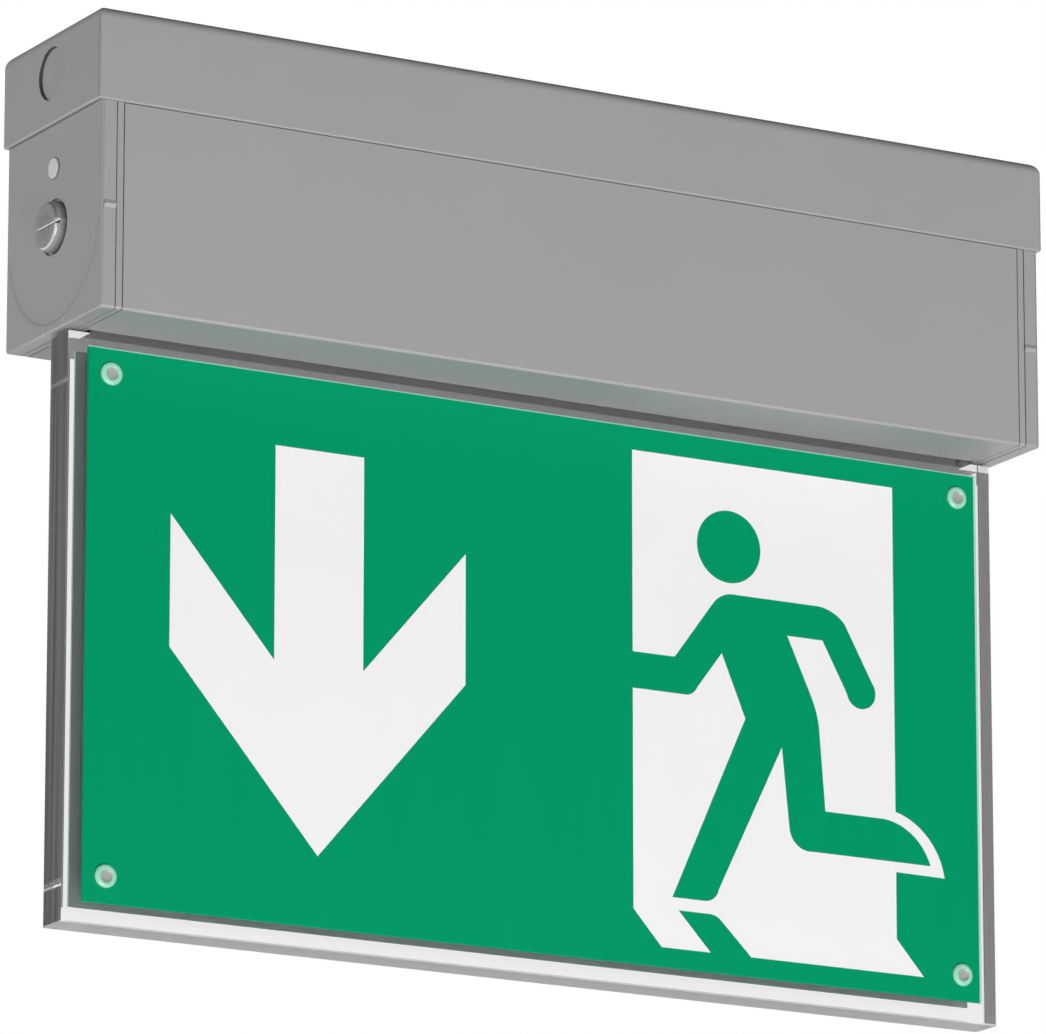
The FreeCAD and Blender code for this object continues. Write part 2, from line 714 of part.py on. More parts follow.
def turn_lock(label, sign):
    left = sign == "-"
    body = new_body(label)
    head_back = "(sizes.lock_head_gap - sizes.lock_seat_depth)"
    shaft_end = "-sizes.lock_shaft_length"
    clip_start = "-sizes.clip_inset"
    clip_end = "-(sizes.clip_inset + sizes.clip_thickness)"
    key_end = "-(sizes.lock_shaft_length + sizes.lock_key_length)"
    profile = [
        ("sizes.lock_head_height", "0"),
        ("sizes.lock_head_height", "(sizes.lock_face_radius - sizes.lock_face_bevel)"),
        ("(sizes.lock_head_height - sizes.lock_face_bevel)", "sizes.lock_face_radius"),
        ("sizes.lock_rim", "sizes.lock_base_radius"),
        (head_back, "sizes.lock_base_radius"),
        (head_back, "sizes.lock_shaft_radius"),
        (clip_start, "sizes.lock_shaft_radius"),
        (clip_start, "sizes.clip_groove_radius"),
        (clip_end, "sizes.clip_groove_radius"),
        (clip_end, "sizes.lock_shaft_radius"),
        (shaft_end, "sizes.lock_shaft_radius"),
        (shaft_end, "sizes.lock_key_radius"),
        (key_end, "sizes.lock_key_radius"),
        (key_end, "0"),
    ]
    placed = [(f"{sign}({COVER_END} + {along})", radius) for along, radius in profile]
    revolve(body, f"{label}_turning", "XZ_Plane", "0", "-sizes.lock_drop", placed)
    face = new_sketch(body, f"{label}_slot_outline", "YZ_Plane",
                      f"{sign}({COVER_END} + sizes.lock_head_height)")
    add_rectangle(face, "side", "-sizes.lock_base_radius", "sizes.lock_base_radius",
                  "-(sizes.lock_drop + sizes.lock_slot_width / 2)",
                  "-(sizes.lock_drop - sizes.lock_slot_width / 2)")
    pocket(body, f"{label}_slot", face, "sizes.lock_slot_depth", reverse=left)
    flats = new_sketch(body, f"{label}_flat_outlines", "YZ_Plane", f"{sign}({COVER_END} + {key_end})")
    middle = "-sizes.lock_drop"
    half = "sizes.lock_key_flat / 2"
    reach = "sizes.lock_shaft_radius"
    add_rectangle(flats, "upper", f"-{reach}", reach, f"{middle} + {half}", f"{middle} + {reach}")
    add_rectangle(flats, "lower", f"-{reach}", reach, f"{middle} - {reach}", f"{middle} - {half}")
    pocket(body, f"{label}_flats", flats, "sizes.lock_key_length", reverse=not left)
    finish(body, label)


def lock_clip(label, sign):
    outward = Vector(-1, 0, 0) if sign == "-" else Vector(1, 0, 0)
    inner = f"{sign}({COVER_END} - sizes.clip_inset - sizes.clip_thickness)"
    ring = rod(f"{label}_ring", "sizes.clip_radius", "sizes.clip_thickness", outward,
               inner, "0", "-sizes.lock_drop")
    hole = rod(f"{label}_hole", "sizes.clip_groove_radius", "sizes.clip_thickness", outward,
               inner, "0", "-sizes.lock_drop")
    corner = inner if sign == "" else f"-({COVER_END} - sizes.clip_inset)"
    mouth = block(f"{label}_mouth", "sizes.clip_thickness", "sizes.clip_mouth", "sizes.clip_radius",
                  corner, "-sizes.clip_mouth / 2", "-sizes.lock_drop")
    finish(cut(label, cut(f"{label}_washer", ring, hole), mouth), label)


def lock_keeper(label, sign, with_window):
    left = sign == "-"
    body = new_body(label)
    section = new_sketch(body, f"{label}_section", "XZ_Plane", "sizes.keeper_width / 2")
    outer = "(sizes.cover_length / 2 - sizes.keeper_inset)"
    plate = f"({outer} - sizes.keeper_thickness)"
    toe = f"({outer} - sizes.keeper_foot)"
    top = "-(sizes.base_roof + sizes.boss_height)"
    under = f"({top} - sizes.keeper_thickness)"
    tail = "-(sizes.lock_drop + sizes.keeper_tail)"
    add_outline(section, "edge", [
        (f"{sign}{outer}", top),
        (f"{sign}{outer}", tail),
        (f"{sign}{plate}", tail),
        (f"{sign}{plate}", under),
        (f"{sign}{toe}", under),
        (f"{sign}{toe}", top),
    ])
    pad(body, f"{label}_strip", section, "sizes.keeper_width", reverse=True)
    keyhole = new_sketch(body, f"{label}_keyhole_disc", "YZ_Plane", f"{sign}{outer}")
    add_circle(keyhole, "hole", "sizes.keeper_hole_radius", "0", "-sizes.lock_drop")
    if with_window:
        add_circle(keyhole, "window", "sizes.keeper_window_radius", "0", "-sizes.button_drop")
    pocket(body, f"{label}_keyhole", keyhole, "sizes.keeper_thickness", reverse=left)
    entry = new_sketch(body, f"{label}_entry_outline", "YZ_Plane", f"{sign}{outer}")
    half = "sizes.keeper_entry / 2"
    add_rectangle(entry, "side", f"-{half}", half, tail, "-sizes.lock_drop")
    pocket(body, f"{label}_entry", entry, "sizes.keeper_thickness", reverse=left)
    holes = new_sketch(body, f"{label}_screw_discs", "XY_Plane", top)
    for tag, deep in (("front", "-"), ("rear", "")):
        add_circle(holes, tag, "sizes.screw_hole_radius", f"{sign}sizes.boss_spacing_long / 2",
                   f"{deep}sizes.boss_spacing_deep / 2")
    pocket(body, f"{label}_screw_holes", holes, "sizes.keeper_thickness")
    finish(body, label)


# The reach and half width of a screw's cross, as shares of its head's radius.
CROSS_ARM = 0.65
CROSS_HALF_WIDTH = 0.125


# A cross-slotted screw: its head starts at seat, and its shank runs into the work along direction.
def screw_shape(seat, direction, shank_length, head_radius, head_height, shank_radius):
    head = Part.makeCylinder(head_radius, head_height, seat, -direction)
    shank = Part.makeCylinder(shank_radius, shank_length, seat, direction)
    turn = Rotation(Vector(0, 0, 1), -direction)
    solid = head.fuse(shank).removeSplitter()
    arm = head_radius * CROSS_ARM
    thin = head_radius * CROSS_HALF_WIDTH
    for half_long, half_wide in ((arm, thin), (thin, arm)):
        corner = Vector(-half_long, -half_wide, 0)
        slot = Part.makeBox(2 * half_long, 2 * half_wide, head_height / 2, corner)
        slot.Placement = Placement(seat - direction * head_height / 2, turn)
        solid = solid.cut(slot)
    return solid


def plain_screw(seat, direction, shank_length):
    return screw_shape(seat, direction, shank_length, size("screw_head_radius"), size("screw_head_height"),
                       size("screw_radius"))


def keeper_screws():
    seat_height = -(size("base_roof") + size("boss_height") + size("keeper_thickness"))
    half_long = size("boss_spacing_long") / 2
    half_deep = size("boss_spacing_deep") / 2
    reach = size("boss_height") + size("keeper_thickness") - size("screw_end_gap")
    seats = [Vector(i * half_long, j * half_deep, seat_height) for i in (-1, 1) for j in (-1, 1)]
    group("keeper_screws", [plain_screw(seat, Vector(0, 0, 1), reach) for seat in seats])


# Test button, its switch and the charge lamp

def test_button():
    body = new_body("test_button")
    back = "-(sizes.cap_wall + sizes.button_flange_gap)"
    flange_end = f"({back} - sizes.button_flange)"
    stem_end = f"({flange_end} - sizes.button_stem)"
    profile = [
        ("sizes.button_proud", "0"),
        ("sizes.button_proud", "(sizes.button_radius - sizes.button_edge)"),
        ("(sizes.button_proud - sizes.button_edge)", "sizes.button_radius"),
        (back, "sizes.button_radius"),
        (back, "sizes.button_flange_radius"),
        (flange_end, "sizes.button_flange_radius"),
        (flange_end, "sizes.button_stem_radius"),
        (stem_end, "sizes.button_stem_radius"),
        (stem_end, "0"),
    ]
    placed = [(f"-({COVER_END} + {along})", radius) for along, radius in profile]
    revolve(body, "button_turning", "XZ_Plane", "0", "-sizes.button_drop", placed)
    finish(body, "test_button")


def test_switch():
    board_face = "-(sizes.tray_length / 2)"
    outer_face = f"({board_face} - sizes.board_thickness)"
    inward = Vector(1, 0, 0)
    board = block("switch_board", "sizes.board_thickness", "2 * sizes.switch_board_half",
                  "sizes.switch_board_tall", outer_face, "-sizes.switch_board_half",
                  "-(sizes.switch_board_top_drop + sizes.switch_board_tall)")
    finish(board, "switch_board")
    start = f"({outer_face} - sizes.switch_length)"
    case = block("switch_case", "sizes.switch_length", "sizes.switch_size", "sizes.switch_size", start,
                 "-sizes.switch_size / 2", "-(sizes.button_drop + sizes.switch_size / 2)")
    bore = rod("switch_bore", "sizes.switch_bore_radius", "sizes.switch_bore_depth", inward,
               start, "0", "-sizes.button_drop")
    finish(cut("test_switch", case, bore), "test_switch")
    tip = f"({outer_face} - sizes.indicator_length)"
    stem = rod("indicator_stem", "sizes.indicator_radius", "sizes.indicator_length", inward,
               tip, "sizes.indicator_offset", "-sizes.button_drop")
    dome = document.addObject("Part::Sphere", "indicator_dome")
    dome.setExpression("Radius", "sizes.indicator_radius")
    place(dome, tip, "sizes.indicator_offset", "-sizes.button_drop")
    finish(fuse("indicator_led", stem, dome), "indicator_led")


# Panel rail, light strip and panel fixings

def panel_rail():
    body = new_body("panel_rail")
    section = new_sketch(body, "rail_section", "YZ_Plane", "-sizes.rail_length / 2")
    inner = PANEL_FACE
    outer = f"({inner} + sizes.rail_wall)"
    toe = f"({outer} + sizes.rail_foot)"
    foot_top = f"({FLOOR_TOP} + sizes.rail_wall)"
    web_top = "-sizes.rail_drop"
    web_under = "-(sizes.rail_drop + sizes.rail_wall)"
    add_outline(section, "edge", [
        (f"-{toe}", FLOOR_TOP),
        (f"-{inner}", FLOOR_TOP),
        (f"-{inner}", web_under),
        (inner, web_under),
        (inner, FLOOR_TOP),
        (toe, FLOOR_TOP),
        (toe, foot_top),
        (outer, foot_top),
        (outer, web_top),
        (f"-{outer}", web_top),
        (f"-{outer}", foot_top),
        (f"-{toe}", foot_top),
    ])
    pad(body, "rail_profile", section, "sizes.rail_length")
    bolts = new_sketch(body, "rail_bolt_discs", "XZ_Plane", outer)
    for i, step in enumerate((-1, 0, 1)):
        add_circle(bolts, f"hole{i}", "sizes.panel_bolt_hole_radius", f"{step} * sizes.panel_bolt_pitch",
                   "-sizes.panel_bolt_drop")
    pocket(body, "rail_bolt_holes", bolts, f"2 * {outer}")
    feet = new_sketch(body, "rail_foot_discs", "XY_Plane", foot_top)
    for i, (along, deep) in enumerate(CORNERS):
        add_circle(feet, f"hole{i}", "sizes.screw_hole_radius", f"{along}sizes.rail_screw_spacing_long / 2",
                   f"{deep}sizes.rail_screw_spacing_deep / 2")
    pocket(body, "rail_foot_holes", feet, "sizes.rail_wall")
    web = new_sketch(body, "rail_web_discs", "XY_Plane", web_top)
    add_circle(web, "lead", "sizes.lead_hole_radius", "sizes.led_lead_x", "0")
    add_circle(web, "left", "sizes.screw_hole_radius", "sizes.tray_screw_left", "0")
    add_circle(web, "right", "sizes.screw_hole_radius", "sizes.tray_screw_right", "0")
    pocket(body, "rail_web_holes", web, "sizes.rail_wall")
    finish(body, "panel_rail")


def rail_screws():
    seat_height = -(size("cover_drop") - size("cover_wall")) + size("rail_wall")
    half_long = size("rail_screw_spacing_long") / 2
    half_deep = size("rail_screw_spacing_deep") / 2
    reach = size("rail_wall") + size("rail_screw_bite")
    seats = [Vector(i * half_long, j * half_deep, seat_height) for i in (-1, 1) for j in (-1, 1)]
    group("rail_screws", [plain_screw(seat, Vector(0, 0, -1), reach) for seat in seats])


def panel_fixings():
    face = size("panel_thickness") / 2 + size("rail_wall")
    reach = 2 * face + size("nut_height") + size("panel_bolt_tip")
    radius = size("panel_bolt_radius")
    rearward = Vector(0, 1, 0)
    corner_radius = size("nut_flats") / 2 / math.cos(math.pi / 6)
    turns = [i * math.pi / 3 for i in range(6)]
    corners = [Vector(corner_radius * math.cos(turn), 0, corner_radius * math.sin(turn)) for turn in turns]
    hexagon = Part.Face(Part.makePolygon(corners + corners[:1]))
    bolts = []
    nuts = []
    for step in (-1, 0, 1):
        seat = Vector(step * size("panel_bolt_pitch"), -face, -size("panel_bolt_drop"))
        bolts.append(screw_shape(seat, rearward, reach, size("bolt_head_radius"), size("bolt_head_height"),
                                 radius))
        nut = hexagon.translated(seat + rearward * 2 * face).extrude(rearward * size("nut_height"))
        nuts.append(nut.cut(Part.makeCylinder(radius, reach, seat, rearward)))
    group("panel_bolts", bolts)
    group("panel_nuts", nuts)


def light_strip():
    board_top = "-(sizes.rail_drop + sizes.rail_wall)"
    finish(block("led_board", "sizes.light_board_length", "sizes.light_board_width", "sizes.board_thickness",
                 "-sizes.light_board_length / 2", "-sizes.light_board_width / 2",
                 f"({board_top} - sizes.board_thickness)"), "led_board")
    count = int(size("light_count"))
    under = -(size("rail_drop") + size("rail_wall") + size("board_thickness"))
    chips = []
    for i in range(count):
        middle = (i - (count - 1) / 2) * size("light_pitch")
        corner = Vector(middle - size("light_long") / 2, -size("light_wide") / 2, under - size("light_tall"))
        chips.append(Part.makeBox(size("light_long"), size("light_wide"), size("light_tall"), corner))
    group("leds", chips)


# Gear tray and what stands on it

def gear_tray():
    body = new_body("gear_tray")
    section = new_sketch(body, "tray_section", "YZ_Plane", "-sizes.tray_length / 2")
    outer = "sizes.tray_depth / 2"
    inner = "(sizes.tray_depth / 2 - sizes.tray_gauge)"
    under = "-sizes.rail_drop"
    flange_top = "(-sizes.rail_drop + sizes.tray_flange)"
    add_outline(section, "edge", [
        (f"-{outer}", under),
        (outer, under),
        (outer, flange_top),
        (inner, flange_top),
        (inner, TRAY_TOP),
        (f"-{inner}", TRAY_TOP),
        (f"-{inner}", flange_top),
        (f"-{outer}", flange_top),
    ])
    pad(body, "tray_profile", section, "sizes.tray_length")
    upstand = new_sketch(body, "tray_upstand_outline", "YZ_Plane", "-sizes.tray_length / 2")
    half = "sizes.tray_upstand_width / 2"
    add_rectangle(upstand, "side", f"-{half}", half, under, "-sizes.tray_upstand_drop")
    pad(body, "tray_upstand", upstand, "sizes.tray_gauge")
    holes = new_sketch(body, "tray_hole_discs", "XY_Plane", TRAY_TOP)
    add_circle(holes, "lead", "sizes.lead_hole_radius", "sizes.led_lead_x", "0")
    add_circle(holes, "left", "sizes.screw_hole_radius", "sizes.tray_screw_left", "0")
    add_circle(holes, "right", "sizes.screw_hole_radius", "sizes.tray_screw_right", "0")
    pocket(body, "tray_holes", holes, "sizes.tray_gauge")
    finish(body, "gear_tray")
    top = -(size("rail_drop") - size("tray_gauge"))
    seats = [Vector(size("tray_screw_left"), 0, top), Vector(size("tray_screw_right"), 0, top)]
    reach = size("tray_gauge") + size("rail_wall")
    group("tray_screws", [plain_screw(seat, Vector(0, 0, -1), reach) for seat in seats])


# Capacitors on the driver board: place along it, place across it, radius and height.
CANS = [(80, -9, 6, 18), (80, 8, 5, 14), (30, -9, 4, 12)]

# Sockets on the driver board, each with its place along it, its near edge and its height.
LAMP_SOCKET = (6, -3.5, 7)
BATTERY_SOCKET = (6, 8.5, 7)
MAINS_SOCKET = (88, 10.5, 9)


def driver_board():
    under = f"({TRAY_TOP} + sizes.spacer_height)"
    board = block("driver_board", "sizes.driver_board_length", "sizes.driver_board_depth",
                  "sizes.board_thickness", "sizes.driver_board_start", "-sizes.driver_board_depth / 2", under)
    finish(board, "driver_board")
    tray_top = -(size("rail_drop") - size("tray_gauge"))
    start = size("driver_board_start")
    inset = size("spacer_inset")
    half_deep = size("driver_board_depth") / 2 - inset
    spacers = []
    for along in (start + inset, start + size("driver_board_length") - inset):
        for deep in (-half_deep, half_deep):
            spacers.append(Part.makeCylinder(size("spacer_radius"), size("spacer_height"),
                                             Vector(along, deep, tray_top)))
    group("board_spacers", spacers)

    board_top = tray_top + size("spacer_height") + size("board_thickness")
    core_long = size("core_length")
    core_deep = size("core_depth")
    core_start = start + size("core_start")
    core_corner = Vector(core_start, -core_deep / 2, board_top)
    core = Part.makeBox(core_long, core_deep, size("core_height"), core_corner)
    winding_long = size("winding_length")
    winding_deep = size("winding_depth")
    winding_corner = Vector(core_start + (core_long - winding_long) / 2, -winding_deep / 2,
                            board_top + size("winding_lift"))
    winding = Part.makeBox(winding_long, winding_deep, size("winding_height"), winding_corner)
    formed("transformer", core.fuse(winding).removeSplitter())
    capacitors = []
    for along, deep, radius, height in CANS:
        can = Part.makeCylinder(radius, height, Vector(start + along, deep, board_top))
        crown = [edge for edge in can.Edges if edge.BoundBox.ZMin > board_top + height - NEAR]
        capacitors.append(can.makeFillet(size("can_round"), crown))
    group("capacitors", capacitors)
    sockets = []
    for along, near, height in (LAMP_SOCKET, BATTERY_SOCKET, MAINS_SOCKET):
        corner = Vector(start + along, near, board_top)
        sockets.append(Part.makeBox(size("socket_length"), size("socket_depth"), height, corner))
    group("board_connectors", sockets)


def battery_pack():
    body = new_body("battery_pack")
    centre = f"({TRAY_TOP} + sizes.battery_clip_gauge + sizes.battery_radius)"
    edge = "(sizes.battery_radius - sizes.battery_edge)"
    waist = "(sizes.battery_radius - sizes.battery_groove)"
    end = "(sizes.battery_start + sizes.battery_length)"
    profile = [("sizes.battery_start", "0"), ("sizes.battery_start", edge)]
    profile.append(("(sizes.battery_start + sizes.battery_edge)", "sizes.battery_radius"))
    cells = int(size("battery_cells"))
    for cell in range(1, cells):
        joint = f"(sizes.battery_start + sizes.battery_length * {cell} / sizes.battery_cells)"
        profile.append((f"({joint} - sizes.battery_edge)", "sizes.battery_radius"))
        profile.append((joint, waist))
        profile.append((f"({joint} + sizes.battery_edge)", "sizes.battery_radius"))
    profile.append((f"({end} - sizes.battery_edge)", "sizes.battery_radius"))
    profile.append((end, edge))
    profile.append((end, "0"))
    revolve(body, "battery_turning", "XZ_Plane", "0", centre, profile)
    finish(body, "battery_pack")


# Two spring clips that grip the pack from below, open at the top.
def battery_clips():
    gauge = size("battery_clip_gauge")
    inner = size("battery_radius")
    outer = inner + gauge
    tray_top = -(size("rail_drop") - size("tray_gauge"))
    width = size("battery_clip_width")
    clips = []
    for start in (size("battery_start") + size("battery_clip_inset"),
                  size("battery_start") + size("battery_length") - size("battery_clip_inset") - width):
        centre = Vector(start, 0, tray_top + outer)
        band = Part.makeCylinder(outer, width, centre, Vector(1, 0, 0))
        band = band.cut(Part.makeCylinder(inner, width, centre, Vector(1, 0, 0)))
        mouth_corner = centre + Vector(0, -outer, size("battery_clip_mouth_rise"))
        clips.append(band.cut(Part.makeBox(width, 2 * outer, outer, mouth_corner)))
    group("battery_clips", clips)


# Leads

def lead(label, points, radius, bend):
    edges = []
    start = points[0]
    for i in range(1, len(points) - 1):
        before = (points[i - 1] - points[i]).normalize()
        after = (points[i + 1] - points[i]).normalize()
        turn = math.pi - before.getAngle(after)
        trim = bend * math.tan(turn / 2)
        enter = points[i] + before * trim
        leave = points[i] + after * trim
        inward = (before + after).normalize()
        middle = points[i] + inward * (bend / math.cos(turn / 2) - bend)
        edges.append(Part.LineSegment(start, enter).toShape())
        edges.append(Part.Arc(enter, middle, leave).toShape())
        start = leave
    edges.append(Part.LineSegment(start, points[-1]).toShape())
    path = Part.Wire(edges)
    ring = Part.Wire([Part.makeCircle(radius, points[0], points[1] - points[0])])
    tube = path.makePipeShell([ring], True, True)
    share = tube.Volume / (math.pi * radius ** 2 * path.Length)
    print(f"{label}: volume over section times length {share:.4f}")
    formed(label, tube)


def leads():
    radius = size("lead_radius")
    bend = size("lead_bend")
    tray_top = -(size("rail_drop") - size("tray_gauge"))
    board_top = tray_top + size("spacer_height") + size("board_thickness")
    board_start = size("driver_board_start")
    half_socket = size("socket_depth") / 2
    plug_height = board_top + size("plug_lift")

    lamp_along, lamp_near, _ = LAMP_SOCKET
    lamp_deep = lamp_near + half_socket
    drop_x = size("led_lead_x")
    strip_top = -(size("rail_drop") + size("rail_wall"))
    lead("led_lead", [
        Vector(board_start + lamp_along, lamp_deep, plug_height),
        Vector(drop_x, lamp_deep, plug_height),
        Vector(drop_x, lamp_deep, strip_top),
    ], radius, bend)

    battery_along, battery_near, _ = BATTERY_SOCKET
    battery_deep = battery_near + half_socket
    pack_end = size("battery_start") + size("battery_length")
    pack_deep = size("battery_lead_offset")
    run = size("battery_lead_run")
    lead("battery_lead", [
        Vector(pack_end, pack_deep, plug_height),
        Vector(pack_end + run, pack_deep, plug_height),
        Vector(pack_end + 2 * run, battery_deep, plug_height),
        Vector(board_start + battery_along, battery_deep, plug_height),
    ], radius, 2 * bend)

    mains_along, mains_near, mains_height = MAINS_SOCKET
    mains_deep = mains_near + half_socket
    mains_x = board_start + mains_along + size("socket_length") / 2
    block_end = size("terminal_start") + size("terminal_length")
    block_deep = size("mains_lead_offset")
    block_height = -(size("base_roof") + size("terminal_height") * 2 / 3)
    first_bend = block_end + size("mains_lead_start")
    slant = size("mains_lead_slant")
    lead("mains_lead", [
        Vector(block_end, block_deep, block_height),
        Vector(first_bend, block_deep, block_height),
        Vector(first_bend + slant, mains_deep, block_height),
        Vector(mains_x - slant, mains_deep, block_height),
        Vector(mains_x, mains_deep, block_height - size("mains_lead_fall")),
        Vector(mains_x, mains_deep, board_top + mains_height),
    ], radius, 2 * bend)


# Sign panel, sheets, print and rivets

def add_rivet_circles(sketch, radius):
    for i, (along, tall) in enumerate(CORNERS):
        add_circle(sketch, f"rivet{i}", radius, f"{along}{RIVET_HALF_WIDE}",
                   f"{tall}{RIVET_HALF_TALL} + {SHEET_CENTRE}")


def sign_panel():
    body = new_body("sign_panel")
    outline = new_sketch(body, "panel_outline", "XZ_Plane", PANEL_FACE)
    half = "sizes.panel_length / 2"
    tongue = "sizes.tongue_length / 2"
    add_outline(outline, "edge", [
        (f"-{half}", "-sizes.panel_drop"),
        (half, "-sizes.panel_drop"),
        (half, "-sizes.shoulder_drop"),
        (tongue, "-sizes.shoulder_drop"),
        (tongue, "-sizes.tongue_drop"),
        (f"-{tongue}", "-sizes.tongue_drop"),
        (f"-{tongue}", "-sizes.shoulder_drop"),
        (f"-{half}", "-sizes.shoulder_drop"),
    ])
    pad(body, "panel_plate", outline, "sizes.panel_thickness", reverse=True)
    face = size("panel_thickness") / 2
    shoulder = -size("shoulder_drop")
    dress_edges(body, "Chamfer", "panel_bevels", "sizes.panel_bevel",
                lambda box: box.YLength < NEAR and abs(abs(box.YMax) - face) < NEAR
                and box.ZMax < shoulder + NEAR and box.ZMin < shoulder - NEAR)
    holes = new_sketch(body, "panel_hole_discs", "XZ_Plane", PANEL_FACE)
    add_rivet_circles(holes, "sizes.rivet_hole_radius")
    for i, step in enumerate((-1, 0, 1)):
        add_circle(holes, f"bolt{i}", "sizes.panel_bolt_hole_radius", f"{step} * sizes.panel_bolt_pitch",
                   "-sizes.panel_bolt_drop")
    pocket(body, "panel_holes", holes, "sizes.panel_thickness")
    finish(body, "sign_panel")


# A green sheet on one face of the panel; side "" is the front and "-" is the rear.
def sign_sheet(label, side):
    front = side == ""
    body = new_body(label)
    outline = new_sketch(body, f"{label}_outline", "XZ_Plane", f"{side}{PANEL_FACE}")
    half = "sizes.sheet_width / 2"
    bottom = "-(sizes.sheet_drop + sizes.sheet_height)"
    add_rectangle(outline, "side", f"-{half}", half, bottom, "-sizes.sheet_drop")
    pad(body, f"{label}_plate", outline, "sizes.sheet_thickness", reverse=not front)
    face = size("panel_thickness") / 2 + size("sheet_thickness")
    dress_edges(body, "Chamfer", f"{label}_bevels", "sizes.sheet_bevel",
                lambda box: box.YLength < NEAR and abs(abs(box.YMax) - face) < NEAR)
    holes = new_sketch(body, f"{label}_rivet_discs", "XZ_Plane",
                       f"{side}({PANEL_FACE} + sizes.sheet_thickness)")
    add_rivet_circles(holes, "sizes.rivet_hole_radius")
    pocket(body, f"{label}_rivet_holes", holes, "sizes.sheet_thickness", reverse=not front)
    finish(body, label)


# The down arrow in white; on the rear it is turned half round with the rest of the sign.
def arrow_print(label, side):
    front = side == ""
    body = new_body(label)
    outline = new_sketch(body, f"{label}_outline", "XZ_Plane",
                         f"{side}({PANEL_FACE} + sizes.sheet_thickness)")
    centre = "sizes.arrow_centre" if front else "-sizes.arrow_centre"
    rows = [
        ("sizes.arrow_shaft_half", "sizes.arrow_half_height"),
        ("sizes.arrow_shaft_half", "-sizes.arrow_notch_fall"),
        ("sizes.arrow_wing_half", "sizes.arrow_wing_rise"),
        ("sizes.arrow_wing_half", "-sizes.arrow_notch_fall"),
    ]
    points = [(f"{centre} + {across}", f"{PRINT_CENTRE} + {up}") for across, up in rows]
    points.append((centre, f"{PRINT_CENTRE} - sizes.arrow_half_height"))
    points += [(f"{centre} - {across}", f"{PRINT_CENTRE} + {up}") for across, up in reversed(rows)]
    add_outline(outline, "edge", points)
    pad(body, f"{label}_field", outline, "sizes.print_thickness", reverse=not front)
    finish(body, label)


# The white doorway with the running figure left out of it, in millimetres from the print's centre.
# Each step is the end of a straight edge, or the middle and end of an arc.
DOORWAY = [
    [(123.3, 75.8)],
    [(123.3, -26.2)],
    [(134.1, -32.2), (140.8, -45.1)],
    [(123.3, -44.9)],
    [(123.3, -65.7)],
    [(132.9, -76.5)],
    [(71.5, -76.5)],
    [(61.4, -66.7)],
    [(59.4, -65.2), (57.0, -64.7)],
    [(46.0, -64.7)],
    [(57.2, -76.5)],
    [(40.2, -76.5)],
    [(30.4, -65.7)],
    [(30.4, 1.9)],
    [(49.3, 1.9)],
    [(51.4, 2.7), (53.0, 4.6)],
    [(61.7, 16.2)],
    [(69.9, -3.2)],
    [(43.9, -60.9)],
    [(55.6, -60.9)],
    [(58.9, -59.4), (60.3, -56.8)],
    [(82.8, -10.7)],
    [(85.3, -35.4)],
    [(87.7, -40.1), (93.4, -41.8)],
    [(135.8, -41.8)],
    [(130.8, -33.9), (119.0, -28.8)],
    [(98.2, -28.8)],
    [(96.3, -4.4)],
    [(95.3, 1.4), (93.6, 6.1)],
    [(85.1, 24.4)],
    [(97.6, 24.4)],
    [(106.2, 8.8)],
    [(112.2, 4.6), (115.5, 12.9)],
    [(105.6, 30.6)],
    [(101.1, 33.8), (94.5, 35.0)],
    [(65.2, 35.0)],
    [(61.2, 33.7), (58.6, 31.3)],
    [(45.1, 13.2)],
    [(30.4, 13.2)],
    [(30.4, 75.8)],
]
HEAD_CENTRE = (64.4, 49.7)
HEAD_RADIUS = 11.3


def door_print(label, side):
    face = size("panel_thickness") / 2 + size("sheet_thickness")
    middle_height = -size("print_drop")

    def on_sheet(point):
        return Vector(point[0], -face, middle_height + point[1])

    edges = []
    start = on_sheet(DOORWAY[-1][-1])
    for step in DOORWAY:
        end = on_sheet(step[-1])
        if len(step) == 1:
            edges.append(Part.LineSegment(start, end).toShape())
        else:
            edges.append(Part.Arc(start, on_sheet(step[0]), end).toShape())
        start = end
    outward = Vector(0, -1, 0)
    thickness = size("print_thickness")
    field = Part.Face(Part.Wire(edges)).extrude(outward * thickness)
    head = Part.makeCylinder(HEAD_RADIUS, thickness, on_sheet(HEAD_CENTRE), outward)
    formed(label, field.cut(head), half_turn=side == "-")


# Clear rivets through both sheets and the panel, each head with a round dimple.
def sheet_rivets():
    face = size("panel_thickness") / 2 + size("sheet_thickness")
    crown = face + size("rivet_head_height")
    dimple = crown - size("rivet_dimple_depth")
    shoulder = crown - size("rivet_head_height") / 2
    radius = size("rivet_head_radius")
    rim = size("rivet_crown_radius")
    bowl = size("rivet_dimple_radius")
    pin = size("rivet_pin_radius")
    hollow = [(0, dimple), (bowl, dimple), (bowl, crown)]
    half = hollow + [(rim, crown), (radius, shoulder), (radius, face), (pin, face)]
    outline = half + [(across, -along) for across, along in reversed(half)]
    corners = [Vector(across, along, 0) for across, along in outline]
    profile = Part.Face(Part.makePolygon(corners + corners[:1]))
    rivet = profile.revolve(Vector(), Vector(0, 1, 0), 360)
    half_wide = size("sheet_width") / 2 - size("rivet_inset_wide")
    half_tall = size("sheet_height") / 2 - size("rivet_inset_tall")
    middle_height = -(size("sheet_drop") + size("sheet_height") / 2)
    rivets = []
    for along in (-half_wide, half_wide):
        for tall in (-half_tall, half_tall):
            rivets.append(rivet.translated(Vector(along, 0, middle_height + tall)))
    group("sheet_rivets", rivets)


